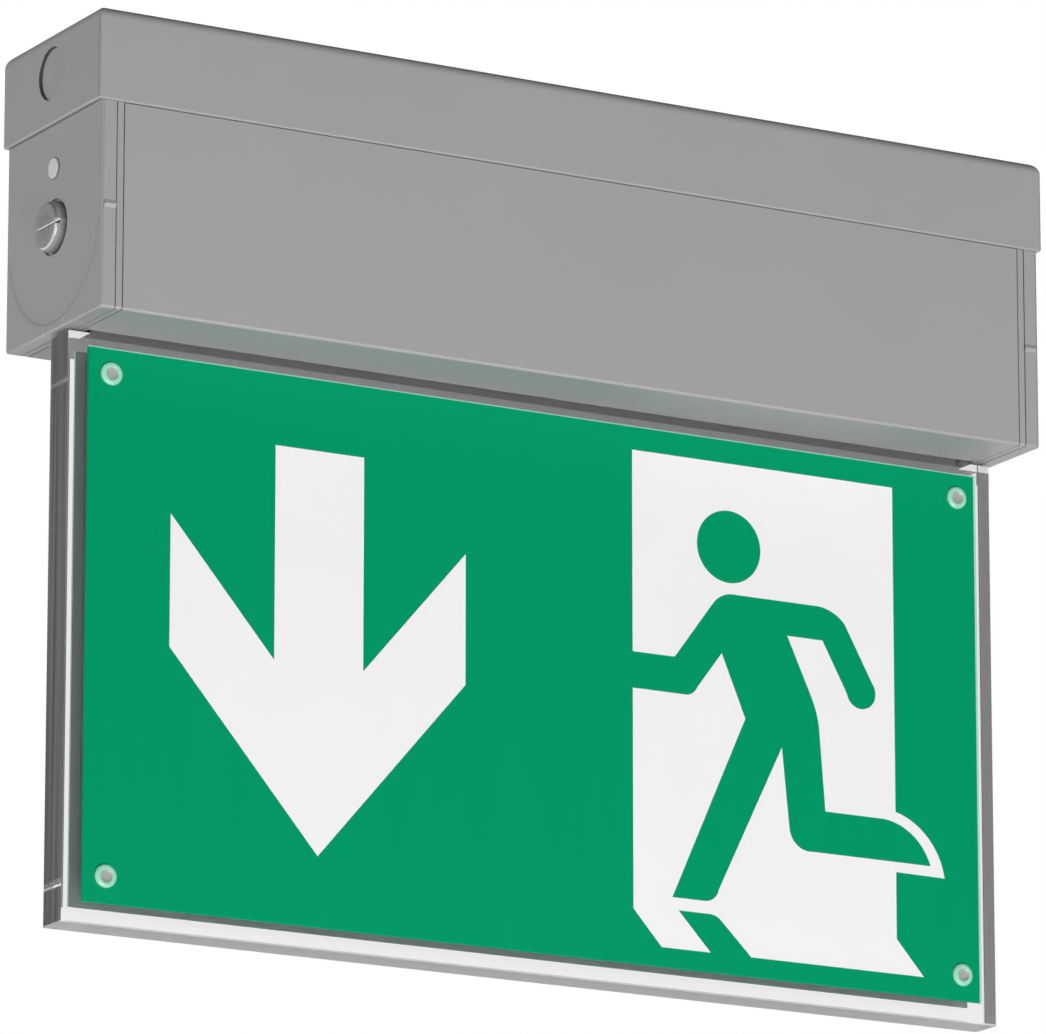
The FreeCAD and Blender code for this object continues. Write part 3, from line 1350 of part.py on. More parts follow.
def write_parts():
    document.recompute()
    failed = [item.Name for item in document.Objects if {"Invalid", "Error"} & set(item.State)]
    if failed:
        raise RuntimeError(f"failed objects: {failed}")
    os.makedirs("parts", exist_ok=True)
    for piece in pieces:
        shape = piece.Shape
        if shape.isNull() or not shape.isValid() or not shape.Solids:
            raise RuntimeError(f"{piece.Label} has no valid solid")
    for piece in pieces:
        piece.Shape.exportStep(f"parts/{piece.Label}.step")
    print(f"{len(pieces)} parts written")


ceiling_base()
cable_grommet()
terminal_block()
terminal_screws()
gear_housing()
end_cap("end_cap_left", "-", with_button=True)
end_cap("end_cap_right", "", with_button=False)
turn_lock("turn_lock_left", "-")
turn_lock("turn_lock_right", "")
lock_clip("lock_clip_left", "-")
lock_clip("lock_clip_right", "")
lock_keeper("lock_keeper_left", "-", with_window=True)
lock_keeper("lock_keeper_right", "", with_window=False)
keeper_screws()
test_button()
test_switch()
panel_rail()
rail_screws()
panel_fixings()
light_strip()
gear_tray()
driver_board()
battery_pack()
battery_clips()
leads()
sign_panel()
sign_sheet("front_sign_sheet", "")
sign_sheet("rear_sign_sheet", "-")
arrow_print("front_arrow_print", "")
arrow_print("rear_arrow_print", "-")
door_print("front_door_print", "")
door_print("rear_door_print", "-")
sheet_rivets()
write_parts()
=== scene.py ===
import json
import math
import bmesh
import bpy
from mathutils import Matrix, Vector


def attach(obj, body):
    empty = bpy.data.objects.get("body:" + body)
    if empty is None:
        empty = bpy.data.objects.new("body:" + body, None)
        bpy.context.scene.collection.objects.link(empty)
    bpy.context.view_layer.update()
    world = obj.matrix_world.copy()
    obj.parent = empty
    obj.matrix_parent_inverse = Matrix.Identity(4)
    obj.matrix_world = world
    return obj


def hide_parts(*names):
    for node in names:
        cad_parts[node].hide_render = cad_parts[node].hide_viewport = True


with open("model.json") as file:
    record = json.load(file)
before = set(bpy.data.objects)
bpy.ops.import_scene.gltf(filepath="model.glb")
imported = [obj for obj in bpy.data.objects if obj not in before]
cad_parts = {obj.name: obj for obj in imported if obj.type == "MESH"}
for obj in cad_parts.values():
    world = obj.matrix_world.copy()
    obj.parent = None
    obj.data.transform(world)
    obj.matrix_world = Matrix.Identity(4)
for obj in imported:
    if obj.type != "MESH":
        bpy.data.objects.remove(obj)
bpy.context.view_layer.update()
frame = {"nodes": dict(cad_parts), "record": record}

mm = 0.001
print("frame loaded:", len(frame["nodes"]), "nodes")


def hexColour(code):
    channels = [int(code[i:i + 2], 16) / 255 for i in (1, 3, 5)]
    return [c / 12.92 if c <= 0.04045 else ((c + 0.055) / 1.055) ** 2.4 for c in channels] + [1]


def patternScale(sizeMm):
    return 1000 / sizeMm  # texture space is in metres, so one period of the pattern spans this many millimetres


def addNode(tree, kind, settings=None, links=None):
    node = tree.nodes.new(kind)
    for name, value in (settings or {}).items():
        if isinstance(name, int) or name in node.inputs:
            node.inputs[name].default_value = value
        else:
            setattr(node, name, value)
    for name, source in (links or {}).items():
        tree.links.new(source, node.inputs[name])
    return node


def startMaterial(name):
    material = bpy.data.materials.new(name)
    material.use_nodes = True
    material.node_tree.nodes.clear()
    return material, material.node_tree


# One pattern breaks up both the roughness and the relief; gloss holds what is the same all over the surface.
def finishSurface(tree, settings, pattern, colour, gloss):
    low, high = settings["roughness"]
    rough = addNode(tree, "ShaderNodeMapRange", {"To Min": low, "To Max": high}, {"Value": pattern})
    bump = addNode(tree, "ShaderNodeBump", {"Strength": settings["relief"], "Distance": settings["reliefMm"] * mm},
                   {"Height": pattern})
    shader = addNode(tree, "ShaderNodeBsdfPrincipled", gloss,
                     {"Base Color": colour, "Roughness": rough.outputs["Result"], "Normal": bump.outputs["Normal"]})
    addNode(tree, "ShaderNodeOutputMaterial", None, {"Surface": shader.outputs["BSDF"]})


def addPiece(name, bm, materials, smooth=True):
    mesh = bpy.data.meshes.new(name)
    bm.to_mesh(mesh)
    bm.free()
    for material in materials:
        mesh.materials.append(material)
    for face in mesh.polygons:
        face.use_smooth = smooth
    piece = bpy.data.objects.new(name, mesh)
    bpy.context.scene.collection.objects.link(piece)
    return piece


# Satin grey polycarbonate, injection moulded in a spark-eroded tool: an even fine grain that softens reflections,
# faint flow clouding, worn edges with a painted highlight on the lower ones and painted shade on the upright ones,
# painted shade in the joints, corners, knock-out and half ring, and the long walls of the slot painted pale for the
# light that comes through the panel.
housingSet = {
    "colour": "#a19ea1", "cloud": "#9c999c", "cloudMm": 60,
    "grainMm": 0.6,  # the real grain is near 0.1 mm, drawn coarser so that it shows
    "relief": 0.35, "reliefMm": 0.012, "roughness": (0.34, 0.44), "ior": 1.585,
    # worn edges, with a painted highlight where they lie level and painted shade where they stand upright: how far
    # the rounded edge turns from the face, and how level it lies
    "rubbedAndLit": "#b0adb0", "handledAndShaded": "#605e60", "edgeMm": 0.5, "edgeTurn": (0.99, 0.8), "edgeWearAndLight": 0.6,
    "edgeLevel": (0.1, 0.4),
    # painted shade in the joints and corners, from ambient occlusion
    "aoShadeMm": 1.4, "aoShadeOpen": (0.45, 0.95), "aoShade": (0.82, 1),
    # painted shade on the knock-out's wall and, faintly, along the half ring under the lock
    "recessShade": "#3b393b", "knockoutDrop": 13, "knockoutRadius": 8.1, "knockoutBand": 0.15, "knockoutFace": 163.9,
    "knockoutShade": 0.9, "ringDrop": 60, "ringTop": 64, "ringRadius": 28.7, "ringLine": 0.2, "ringWidth": 1.6,
    "ringFrom": 162.2, "ringShade": 0.15,
    # an upright edge, painted darker as shade, is where length and depth out from the middle add up to more than this
    "baseCorner": 194.45, "baseCornerShade": 0.5, "coverCorner": 192.15, "coverCornerShade": 0.3, "baseFoot": 28.6,
    "footFade": 0.1,
    # the slot's long walls are painted pale, standing in for light that comes through the panel
    "slotPaintedLight": "#dddadd", "slotHalf": 6.5, "slotBand": 0.05, "slotTop": 88.9,
}


def makeMouldedHousing():
    material, tree = startMaterial("polycarbonate_moulded_satin")
    coords = addNode(tree, "ShaderNodeTexCoord").outputs["Object"]
    cloud = addNode(tree, "ShaderNodeTexNoise", {"Scale": patternScale(housingSet["cloudMm"]), "Detail": 3},
                    {"Vector": coords})
    grain = addNode(tree, "ShaderNodeTexNoise", {"Scale": patternScale(housingSet["grainMm"]), "Detail": 2},
                    {"Vector": coords})
    base = addNode(tree, "ShaderNodeMix", {"data_type": "RGBA", 6: hexColour(housingSet["cloud"]),
                                           7: hexColour(housingSet["colour"])}, {0: cloud.outputs["Fac"]})

    # worn edges: a painted highlight where they lie level, painted shade where they stand upright
    soft = addNode(tree, "ShaderNodeBevel", {"samples": 4, "Radius": housingSet["edgeMm"] * mm})
    surface = addNode(tree, "ShaderNodeNewGeometry")
    turn = addNode(tree, "ShaderNodeVectorMath", {"operation": "DOT_PRODUCT"},
                   {0: soft.outputs["Normal"], 1: surface.outputs["Normal"]})
    low, high = housingSet["edgeTurn"]
    edge = addNode(tree, "ShaderNodeMapRange", {"From Min": low, "From Max": high, "To Max": housingSet["edgeWearAndLight"]},
                   {"Value": turn.outputs["Value"]})
    lean = addNode(tree, "ShaderNodeSeparateXYZ", None, {"Vector": soft.outputs["Normal"]})
    tilt = addNode(tree, "ShaderNodeMath", {"operation": "ABSOLUTE"}, {0: lean.outputs["Z"]})
    low, high = housingSet["edgeLevel"]
    level = addNode(tree, "ShaderNodeMapRange", {"From Min": low, "From Max": high}, {"Value": tilt.outputs["Value"]})
    wearAndLight = addNode(tree, "ShaderNodeMix", {"data_type": "RGBA", 6: hexColour(housingSet["handledAndShaded"]),
                                           7: hexColour(housingSet["rubbedAndLit"])}, {0: level.outputs["Result"]})
    rubbedAndLit = addNode(tree, "ShaderNodeMix", {"data_type": "RGBA"},
                     {0: edge.outputs["Result"], 6: base.outputs[2], 7: wearAndLight.outputs[2]})

    # painted shade in the joints and corners, from ambient occlusion
    corner = addNode(tree, "ShaderNodeAmbientOcclusion", {"samples": 8, "Distance": housingSet["aoShadeMm"] * mm})
    closed, opened = housingSet["aoShadeOpen"]
    low, high = housingSet["aoShade"]
    unshaded = addNode(tree, "ShaderNodeMapRange",
                    {"From Min": closed, "From Max": opened, "To Min": low, "To Max": high},
                    {"Value": corner.outputs["AO"]})
    aoShaded = addNode(tree, "ShaderNodeMix", {"data_type": "RGBA", "blend_type": "MULTIPLY", 0: 1},
                    {6: rubbedAndLit.outputs[2], 7: unshaded.outputs["Result"]})

    # painted shade on the knock-out's wall
    place = addNode(tree, "ShaderNodeSeparateXYZ", None, {"Vector": coords})
    reach = addNode(tree, "ShaderNodeMath", {"operation": "ABSOLUTE"}, {0: place.outputs["X"]})
    flat = addNode(tree, "ShaderNodeMapping", {"Scale": (0, 1, 1)}, {"Vector": coords})
    offKnockout = addNode(tree, "ShaderNodeVectorMath",
                          {"operation": "DISTANCE", 1: (0, 0, -housingSet["knockoutDrop"] * mm)},
                          {0: flat.outputs["Vector"]})
    onWall = addNode(tree, "ShaderNodeMath", {"operation": "COMPARE", 1: housingSet["knockoutRadius"] * mm,
                                              2: housingSet["knockoutBand"] * mm},
                     {0: offKnockout.outputs["Value"]})
    sunk = addNode(tree, "ShaderNodeMath", {"operation": "LESS_THAN", 1: housingSet["knockoutFace"] * mm},
                   {0: reach.outputs["Value"]})
    wall = addNode(tree, "ShaderNodeMath", {"operation": "MULTIPLY"},
                   {0: onWall.outputs["Value"], 1: sunk.outputs["Value"]})

    # painted shade along the half ring
    offLock = addNode(tree, "ShaderNodeVectorMath", {"operation": "DISTANCE", 1: (0, 0, -housingSet["ringDrop"] * mm)},
                      {0: flat.outputs["Vector"]})
    offRing = addNode(tree, "ShaderNodeMath", {"operation": "SUBTRACT", 1: housingSet["ringRadius"] * mm},
                      {0: offLock.outputs["Value"]})
    besideRing = addNode(tree, "ShaderNodeMath", {"operation": "ABSOLUTE"}, {0: offRing.outputs["Value"]})
    ring = addNode(tree, "ShaderNodeMapRange",
                   {"From Min": housingSet["ringWidth"] * mm, "From Max": housingSet["ringLine"] * mm,
                    "To Max": housingSet["ringShade"]}, {"Value": besideRing.outputs["Value"]})
    below = addNode(tree, "ShaderNodeMath", {"operation": "LESS_THAN", 1: -housingSet["ringTop"] * mm},
                    {0: place.outputs["Z"]})
    lowerRing = addNode(tree, "ShaderNodeMath", {"operation": "MULTIPLY"},
                        {0: ring.outputs["Result"], 1: below.outputs["Value"]})
    onEnd = addNode(tree, "ShaderNodeMath", {"operation": "GREATER_THAN", 1: housingSet["ringFrom"] * mm},
                    {0: reach.outputs["Value"]})
    endRing = addNode(tree, "ShaderNodeMath", {"operation": "MULTIPLY"},
                      {0: lowerRing.outputs["Value"], 1: onEnd.outputs["Value"]})
    recessShade = addNode(tree, "ShaderNodeMath", {"operation": "MULTIPLY_ADD", 1: housingSet["knockoutShade"]},
                    {0: wall.outputs["Value"], 2: endRing.outputs["Value"]})
    recessShaded = addNode(tree, "ShaderNodeMix", {"data_type": "RGBA", 7: hexColour(housingSet["recessShade"])},
                    {0: recessShade.outputs["Value"], 6: aoShaded.outputs[2]})

    # painted shade on the upright edges, more on the base than on the cover
    deep = addNode(tree, "ShaderNodeMath", {"operation": "ABSOLUTE"}, {0: place.outputs["Y"]})
    outward = addNode(tree, "ShaderNodeMath", {"operation": "ADD"},
                      {0: reach.outputs["Value"], 1: deep.outputs["Value"]})
    baseCorner = addNode(tree, "ShaderNodeMath", {"operation": "GREATER_THAN", 1: housingSet["baseCorner"] * mm},
                         {0: outward.outputs["Value"]})
    coverCorner = addNode(tree, "ShaderNodeMath", {"operation": "GREATER_THAN", 1: housingSet["coverCorner"] * mm},
                          {0: outward.outputs["Value"]})
    underBase = addNode(tree, "ShaderNodeMapRange",
                        {"From Min": -housingSet["baseFoot"] * mm,
                         "From Max": -(housingSet["baseFoot"] + housingSet["footFade"]) * mm,
                         "To Max": housingSet["coverCornerShade"]}, {"Value": place.outputs["Z"]})
    coverEdge = addNode(tree, "ShaderNodeMath", {"operation": "MULTIPLY"},
                        {0: coverCorner.outputs["Value"], 1: underBase.outputs["Result"]})
    upright = addNode(tree, "ShaderNodeMath", {"operation": "MULTIPLY_ADD", 1: housingSet["baseCornerShade"]},
                      {0: baseCorner.outputs["Value"], 2: coverEdge.outputs["Value"]})
    cornerShaded = addNode(tree, "ShaderNodeMix", {"data_type": "RGBA", 7: hexColour(housingSet["handledAndShaded"])},
                      {0: upright.outputs["Value"], 6: recessShaded.outputs[2]})

    # the slot's long walls painted pale, standing in for light that comes through the panel
    onSlot = addNode(tree, "ShaderNodeMath", {"operation": "COMPARE", 1: housingSet["slotHalf"] * mm,
                                              2: housingSet["slotBand"] * mm}, {0: deep.outputs["Value"]})
    lowDown = addNode(tree, "ShaderNodeMath", {"operation": "LESS_THAN", 1: -housingSet["slotTop"] * mm},
                      {0: place.outputs["Z"]})
    slotWall = addNode(tree, "ShaderNodeMath", {"operation": "MULTIPLY"},
                       {0: onSlot.outputs["Value"], 1: lowDown.outputs["Value"]})
    colour = addNode(tree, "ShaderNodeMix", {"data_type": "RGBA", 7: hexColour(housingSet["slotPaintedLight"])},
                     {0: slotWall.outputs["Value"], 6: cornerShaded.outputs[2]})
    finishSurface(tree, housingSet, grain.outputs["Fac"], colour.outputs[2], {"IOR": housingSet["ior"]})
    return material


# Zinc turn locks, die cast and satin lacquered: grey metal with faint turned rings of tone round the axis, a rim that
# catches bright streaks, a matt wall with painted shade on it and at its foot, and a matt slot with painted light on
# its sides and painted shade along its lower side.
lockSet = {
    "colour": "#d8d5d9", "ring": "#c8c5c9", "axisDrop": 60,
    "ringMm": 5.655, "ringWander": 0.6,  # real turning marks are far finer, drawn coarser so that they show
    "relief": 0.15, "reliefMm": 0.006, "grainMm": 0.7, "roughness": (0.22, 0.3), "metallic": 0.75,
    # painted shade on the wall and at its foot
    "faceRadius": 7.1, "rimBlend": 0.1, "wallFrom": 0.05, "wallShade": 0.5, "wallRough": 0.25,
    "footFade": (0.15, 0.05), "footShade": 0.3,
    # painted light on the slot's sides, painted shade along its floor
    "face": 165.5, "faceSkin": 0.08, "slotFloor": 164, "floorSkin": 0.1, "slotHalf": 0.85, "slotSideLight": "#efedf0",
    "slotFloorShade": "#2b2a2c", "floorShadeTop": 0.48,
}
waveTurn = 2 * math.pi / 20  # the wave texture turns 20 radians along one unit of its scale


def makeTurnedLock():
    material, tree = startMaterial("zinc_die_cast_satin")
    coords = addNode(tree, "ShaderNodeTexCoord").outputs["Object"]
    onAxis = addNode(tree, "ShaderNodeMapping", {"Location": (0, 0, lockSet["axisDrop"] * mm)}, {"Vector": coords})
    rings = addNode(tree, "ShaderNodeTexWave",
                    {"wave_type": "RINGS", "rings_direction": "X", "Scale": patternScale(lockSet["ringMm"]) * waveTurn,
                     "Distortion": lockSet["ringWander"], "Detail": 1}, {"Vector": onAxis.outputs["Vector"]})
    grain = addNode(tree, "ShaderNodeTexNoise", {"Scale": patternScale(lockSet["grainMm"]), "Detail": 2},
                    {"Vector": coords})
    turned = addNode(tree, "ShaderNodeMix", {"data_type": "RGBA", 6: hexColour(lockSet["colour"]),
                                             7: hexColour(lockSet["ring"])}, {0: rings.outputs["Fac"]})

    # painted shade on the wall and its foot
    radius, blend = lockSet["faceRadius"], lockSet["rimBlend"]
    flat = addNode(tree, "ShaderNodeMapping", {"Scale": (0, 1, 1)}, {"Vector": coords})
    offAxis = addNode(tree, "ShaderNodeVectorMath", {"operation": "DISTANCE", 1: (0, 0, -lockSet["axisDrop"] * mm)},
                      {0: flat.outputs["Vector"]})
    shade = addNode(tree, "ShaderNodeMapRange",
                    {"From Min": (radius - blend) * mm, "From Max": (radius + blend) * mm,
                     "To Min": 1, "To Max": lockSet["wallShade"]}, {"Value": offAxis.outputs["Value"]})
    place = addNode(tree, "ShaderNodeSeparateXYZ", None, {"Vector": onAxis.outputs["Vector"]})
    reach = addNode(tree, "ShaderNodeMath", {"operation": "ABSOLUTE"}, {0: place.outputs["X"]})
    start, end = lockSet["footFade"]
    foot = addNode(tree, "ShaderNodeMapRange",
                   {"From Min": (lockSet["slotFloor"] - start) * mm, "From Max": (lockSet["slotFloor"] - end) * mm,
                    "To Min": lockSet["footShade"], "To Max": 1}, {"Value": reach.outputs["Value"]})
    darkest = addNode(tree, "ShaderNodeMath", {"operation": "MINIMUM"},
                      {0: shade.outputs["Result"], 1: foot.outputs["Result"]})

    # painted light on the sides of the slot
    aside = addNode(tree, "ShaderNodeMath", {"operation": "ABSOLUTE"}, {0: place.outputs["Z"]})
    between = addNode(tree, "ShaderNodeMath", {"operation": "LESS_THAN", 1: lockSet["slotHalf"] * mm},
                      {0: aside.outputs["Value"]})
    sunk = addNode(tree, "ShaderNodeMath",
                   {"operation": "LESS_THAN", 1: (lockSet["face"] - lockSet["faceSkin"]) * mm},
                   {0: reach.outputs["Value"]})
    inSlot = addNode(tree, "ShaderNodeMath", {"operation": "MULTIPLY"},
                     {0: between.outputs["Value"], 1: sunk.outputs["Value"]})
    slotLit = addNode(tree, "ShaderNodeMix", {"data_type": "RGBA", 7: hexColour(lockSet["slotSideLight"])},
                      {0: inSlot.outputs["Value"], 6: turned.outputs[2]})
    shaded = addNode(tree, "ShaderNodeMix", {"data_type": "RGBA", "blend_type": "MULTIPLY", 0: 1},
                     {6: slotLit.outputs[2], 7: darkest.outputs["Value"]})

    # painted shade on the slot's floor
    onWall = addNode(tree, "ShaderNodeMath", {"operation": "GREATER_THAN", 1: (radius + lockSet["wallFrom"]) * mm},
                     {0: offAxis.outputs["Value"]})
    lowDown = addNode(tree, "ShaderNodeMath",
                      {"operation": "LESS_THAN", 1: (lockSet["slotFloor"] + lockSet["floorSkin"]) * mm},
                      {0: reach.outputs["Value"]})
    lowSlot = addNode(tree, "ShaderNodeMath", {"operation": "MULTIPLY"},
                      {0: between.outputs["Value"], 1: lowDown.outputs["Value"]})
    onFloor = addNode(tree, "ShaderNodeMath", {"operation": "SUBTRACT", "use_clamp": True},
                      {0: lowSlot.outputs["Value"], 1: onWall.outputs["Value"]})
    lowerSide = addNode(tree, "ShaderNodeMath", {"operation": "LESS_THAN", 1: lockSet["floorShadeTop"] * mm},
                      {0: place.outputs["Z"]})
    floorShaded = addNode(tree, "ShaderNodeMath", {"operation": "MULTIPLY"},
                   {0: onFloor.outputs["Value"], 1: lowerSide.outputs["Value"]})
    colour = addNode(tree, "ShaderNodeMix", {"data_type": "RGBA", 7: hexColour(lockSet["slotFloorShade"])},
                     {0: floorShaded.outputs["Value"], 6: shaded.outputs[2]})

    # the face is metal, the wall and the slot are matt
    matt = addNode(tree, "ShaderNodeMath", {"operation": "MAXIMUM"},
                   {0: inSlot.outputs["Value"], 1: onWall.outputs["Value"]})
    metallic = addNode(tree, "ShaderNodeMapRange", {"To Min": lockSet["metallic"], "To Max": 0},
                       {"Value": matt.outputs["Value"]})
    low, high = lockSet["roughness"]
    polished = addNode(tree, "ShaderNodeMapRange", {"To Min": low, "To Max": high}, {"Value": grain.outputs["Fac"]})
    wallRough = addNode(tree, "ShaderNodeMapRange",
                        {"From Min": radius * mm, "From Max": (radius + blend) * mm,
                         "To Max": lockSet["wallRough"]}, {"Value": offAxis.outputs["Value"]})
    rough = addNode(tree, "ShaderNodeMath", {"operation": "ADD"},
                    {0: polished.outputs["Result"], 1: wallRough.outputs["Result"]})
    bump = addNode(tree, "ShaderNodeBump", {"Strength": lockSet["relief"], "Distance": lockSet["reliefMm"] * mm},
                   {"Height": rings.outputs["Fac"]})
    shader = addNode(tree, "ShaderNodeBsdfPrincipled", None,
                     {"Base Color": colour.outputs[2], "Metallic": metallic.outputs["Result"],
                      "Roughness": rough.outputs["Value"], "Normal": bump.outputs["Normal"]})
    addNode(tree, "ShaderNodeOutputMaterial", None, {"Surface": shader.outputs["BSDF"]})
    return material


# Pale polycarbonate button that also pipes the charge lamp's light: slightly milky, polished by fingertips,
# with painted shade round its foot and up its side.
buttonSet = {
    "colour": "#d2d0d1", "milk": "#d8d6d7", "milkMm": 2.5, "relief": 0.1, "reliefMm": 0.01,
    "roughness": (0.16, 0.3), "ior": 1.585, "scatter": 0.3, "scatterSpread": (0.6, 0.6, 0.55), "scatterMm": 1,
    # painted shade round the foot, from ambient occlusion, and up the side
    "aoShadeMm": 1.2, "aoShadeOpen": (0.45, 0.9), "aoShade": (0.35, 1), "face": 163.2, "sideFade": (0.3, 0.05), "sideShade": 0.5,
}


def makeLightPipeButton():
    material, tree = startMaterial("polycarbonate_light_pipe")
    coords = addNode(tree, "ShaderNodeTexCoord").outputs["Object"]
    milk = addNode(tree, "ShaderNodeTexNoise", {"Scale": patternScale(buttonSet["milkMm"]), "Detail": 3},
                   {"Vector": coords})
    milky = addNode(tree, "ShaderNodeMix", {"data_type": "RGBA", 6: hexColour(buttonSet["colour"]),
                                            7: hexColour(buttonSet["milk"])}, {0: milk.outputs["Fac"]})
    foot = addNode(tree, "ShaderNodeAmbientOcclusion", {"samples": 8, "Distance": buttonSet["aoShadeMm"] * mm})
    closed, opened = buttonSet["aoShadeOpen"]
    low, high = buttonSet["aoShade"]
    unshaded = addNode(tree, "ShaderNodeMapRange",
                    {"From Min": closed, "From Max": opened, "To Min": low, "To Max": high},
                    {"Value": foot.outputs["AO"]})
    place = addNode(tree, "ShaderNodeSeparateXYZ", None, {"Vector": coords})
    reach = addNode(tree, "ShaderNodeMath", {"operation": "ABSOLUTE"}, {0: place.outputs["X"]})
    start, end = buttonSet["sideFade"]
    side = addNode(tree, "ShaderNodeMapRange",
                   {"From Min": (buttonSet["face"] - start) * mm, "From Max": (buttonSet["face"] - end) * mm,
                    "To Min": buttonSet["sideShade"], "To Max": 1}, {"Value": reach.outputs["Value"]})
    aoShaded = addNode(tree, "ShaderNodeMath", {"operation": "MULTIPLY"},
                    {0: unshaded.outputs["Result"], 1: side.outputs["Result"]})
    colour = addNode(tree, "ShaderNodeMix", {"data_type": "RGBA", "blend_type": "MULTIPLY", 0: 1},
                     {6: milky.outputs[2], 7: aoShaded.outputs["Value"]})
    finishSurface(tree, buttonSet, milk.outputs["Fac"], colour.outputs[2],
                  {"IOR": buttonSet["ior"], "Subsurface Weight": buttonSet["scatter"],
                   "Subsurface Radius": buttonSet["scatterSpread"], "Subsurface Scale": buttonSet["scatterMm"] * mm})
    return material


# Cast acrylic, sawn and polished: clear through the thickness, a grey-green cast along its length, faint polishing
# haze that breaks up the reflections, saw lines that grey its ends, and a lower edge left fine sanded.
acrylicSet = {
    "tint": "#efedef", "deep": "#c9d2cf", "density": 4.8, "ior": 1.49,
    "hazeMm": 14, "hazeFrom": (0.35, 0.75), "roughness": (0.0, 0.035),
    "sanded": 0.4, "sandedBelow": 268.05, "sandedWhite": 0.33,
    "endFrom": 159.7, "sawMm": 1.2, "sawStretch": 0.01, "sawWhite": 0.3,
}


def makeCastAcrylic():
    material, tree = startMaterial("acrylic_cast_polished")
    coords = addNode(tree, "ShaderNodeTexCoord").outputs["Object"]
    haze = addNode(tree, "ShaderNodeTexNoise", {"Scale": patternScale(acrylicSet["hazeMm"]), "Detail": 4},
                   {"Vector": coords})
    start, end = acrylicSet["hazeFrom"]
    low, high = acrylicSet["roughness"]
    polished = addNode(tree, "ShaderNodeMapRange",
                       {"From Min": start, "From Max": end, "To Min": low, "To Max": high},
                       {"Value": haze.outputs["Fac"]})
    place = addNode(tree, "ShaderNodeSeparateXYZ", None, {"Vector": coords})
    lowerEdge = addNode(tree, "ShaderNodeMath", {"operation": "LESS_THAN", 1: -acrylicSet["sandedBelow"] * mm},
                        {0: place.outputs["Z"]})
    rough = addNode(tree, "ShaderNodeMath", {"operation": "MULTIPLY_ADD", 1: acrylicSet["sanded"]},
                    {0: lowerEdge.outputs["Value"], 2: polished.outputs["Result"]})
    upright = addNode(tree, "ShaderNodeMapping", {"Scale": (1, 1, acrylicSet["sawStretch"])}, {"Vector": coords})
    lines = addNode(tree, "ShaderNodeTexNoise", {"Scale": patternScale(acrylicSet["sawMm"]), "Detail": 1},
                    {"Vector": upright.outputs["Vector"]})
    reach = addNode(tree, "ShaderNodeMath", {"operation": "ABSOLUTE"}, {0: place.outputs["X"]})
    onEnd = addNode(tree, "ShaderNodeMath", {"operation": "GREATER_THAN", 1: acrylicSet["endFrom"] * mm},
                    {0: reach.outputs["Value"]})
    sawn = addNode(tree, "ShaderNodeMath", {"operation": "MULTIPLY"},
                   {0: onEnd.outputs["Value"], 1: lines.outputs["Fac"]})
    endWhite = addNode(tree, "ShaderNodeMath", {"operation": "MULTIPLY", 1: acrylicSet["sawWhite"]},
                       {0: sawn.outputs["Value"]})
    white = addNode(tree, "ShaderNodeMath", {"operation": "MULTIPLY_ADD", 1: acrylicSet["sandedWhite"]},
                    {0: lowerEdge.outputs["Value"], 2: endWhite.outputs["Value"]})
    clear = addNode(tree, "ShaderNodeMath", {"operation": "SUBTRACT", 0: 1}, {1: white.outputs["Value"]})
    shader = addNode(tree, "ShaderNodeBsdfPrincipled",
                     {"Base Color": hexColour(acrylicSet["tint"]), "IOR": acrylicSet["ior"]},
                     {"Roughness": rough.outputs["Value"], "Transmission Weight": clear.outputs["Value"]})
    deep = addNode(tree, "ShaderNodeVolumeAbsorption", {"Color": hexColour(acrylicSet["deep"]),
                                                        "Density": acrylicSet["density"]})
    addNode(tree, "ShaderNodeOutputMaterial", None, {"Surface": shader.outputs["BSDF"],
                                                     "Volume": deep.outputs["Volume"]})
    return material


# Polycarbonate sign sheets, screen printed in safety green: dense matt ink with a faint squeegee streak, a paler mint
# band along the top edge and the right-hand edge as seen from each side, and the bare grey film on the back. They
# stand a hair off the panel, so that light inside the acrylic meets air behind them.
sheetSet = {
    "ink": "#009464", "thin": "#009161", "edge": "#a9d4c0", "film": "#9db3ae", "streakMm": 9, "streakStretch": 0.08,
    "mottleMm": 1.6, "relief": 0.15, "reliefMm": 0.008, "roughness": (0.4, 0.52), "ior": 1.5, "specular": 0.04,
    "paleTop": 0.5, "paleRight": 0.9, "filmBelow": 6.2,
    "halfWidth": 154, "topDrop": 96.2, "height": 166, "back": 6.03, "front": 7.2, "bevel": 0.3,
    "rivetInsetWide": 7.3, "rivetInsetTall": 8, "holeRadius": 1.7, "holeSides": 32,
}


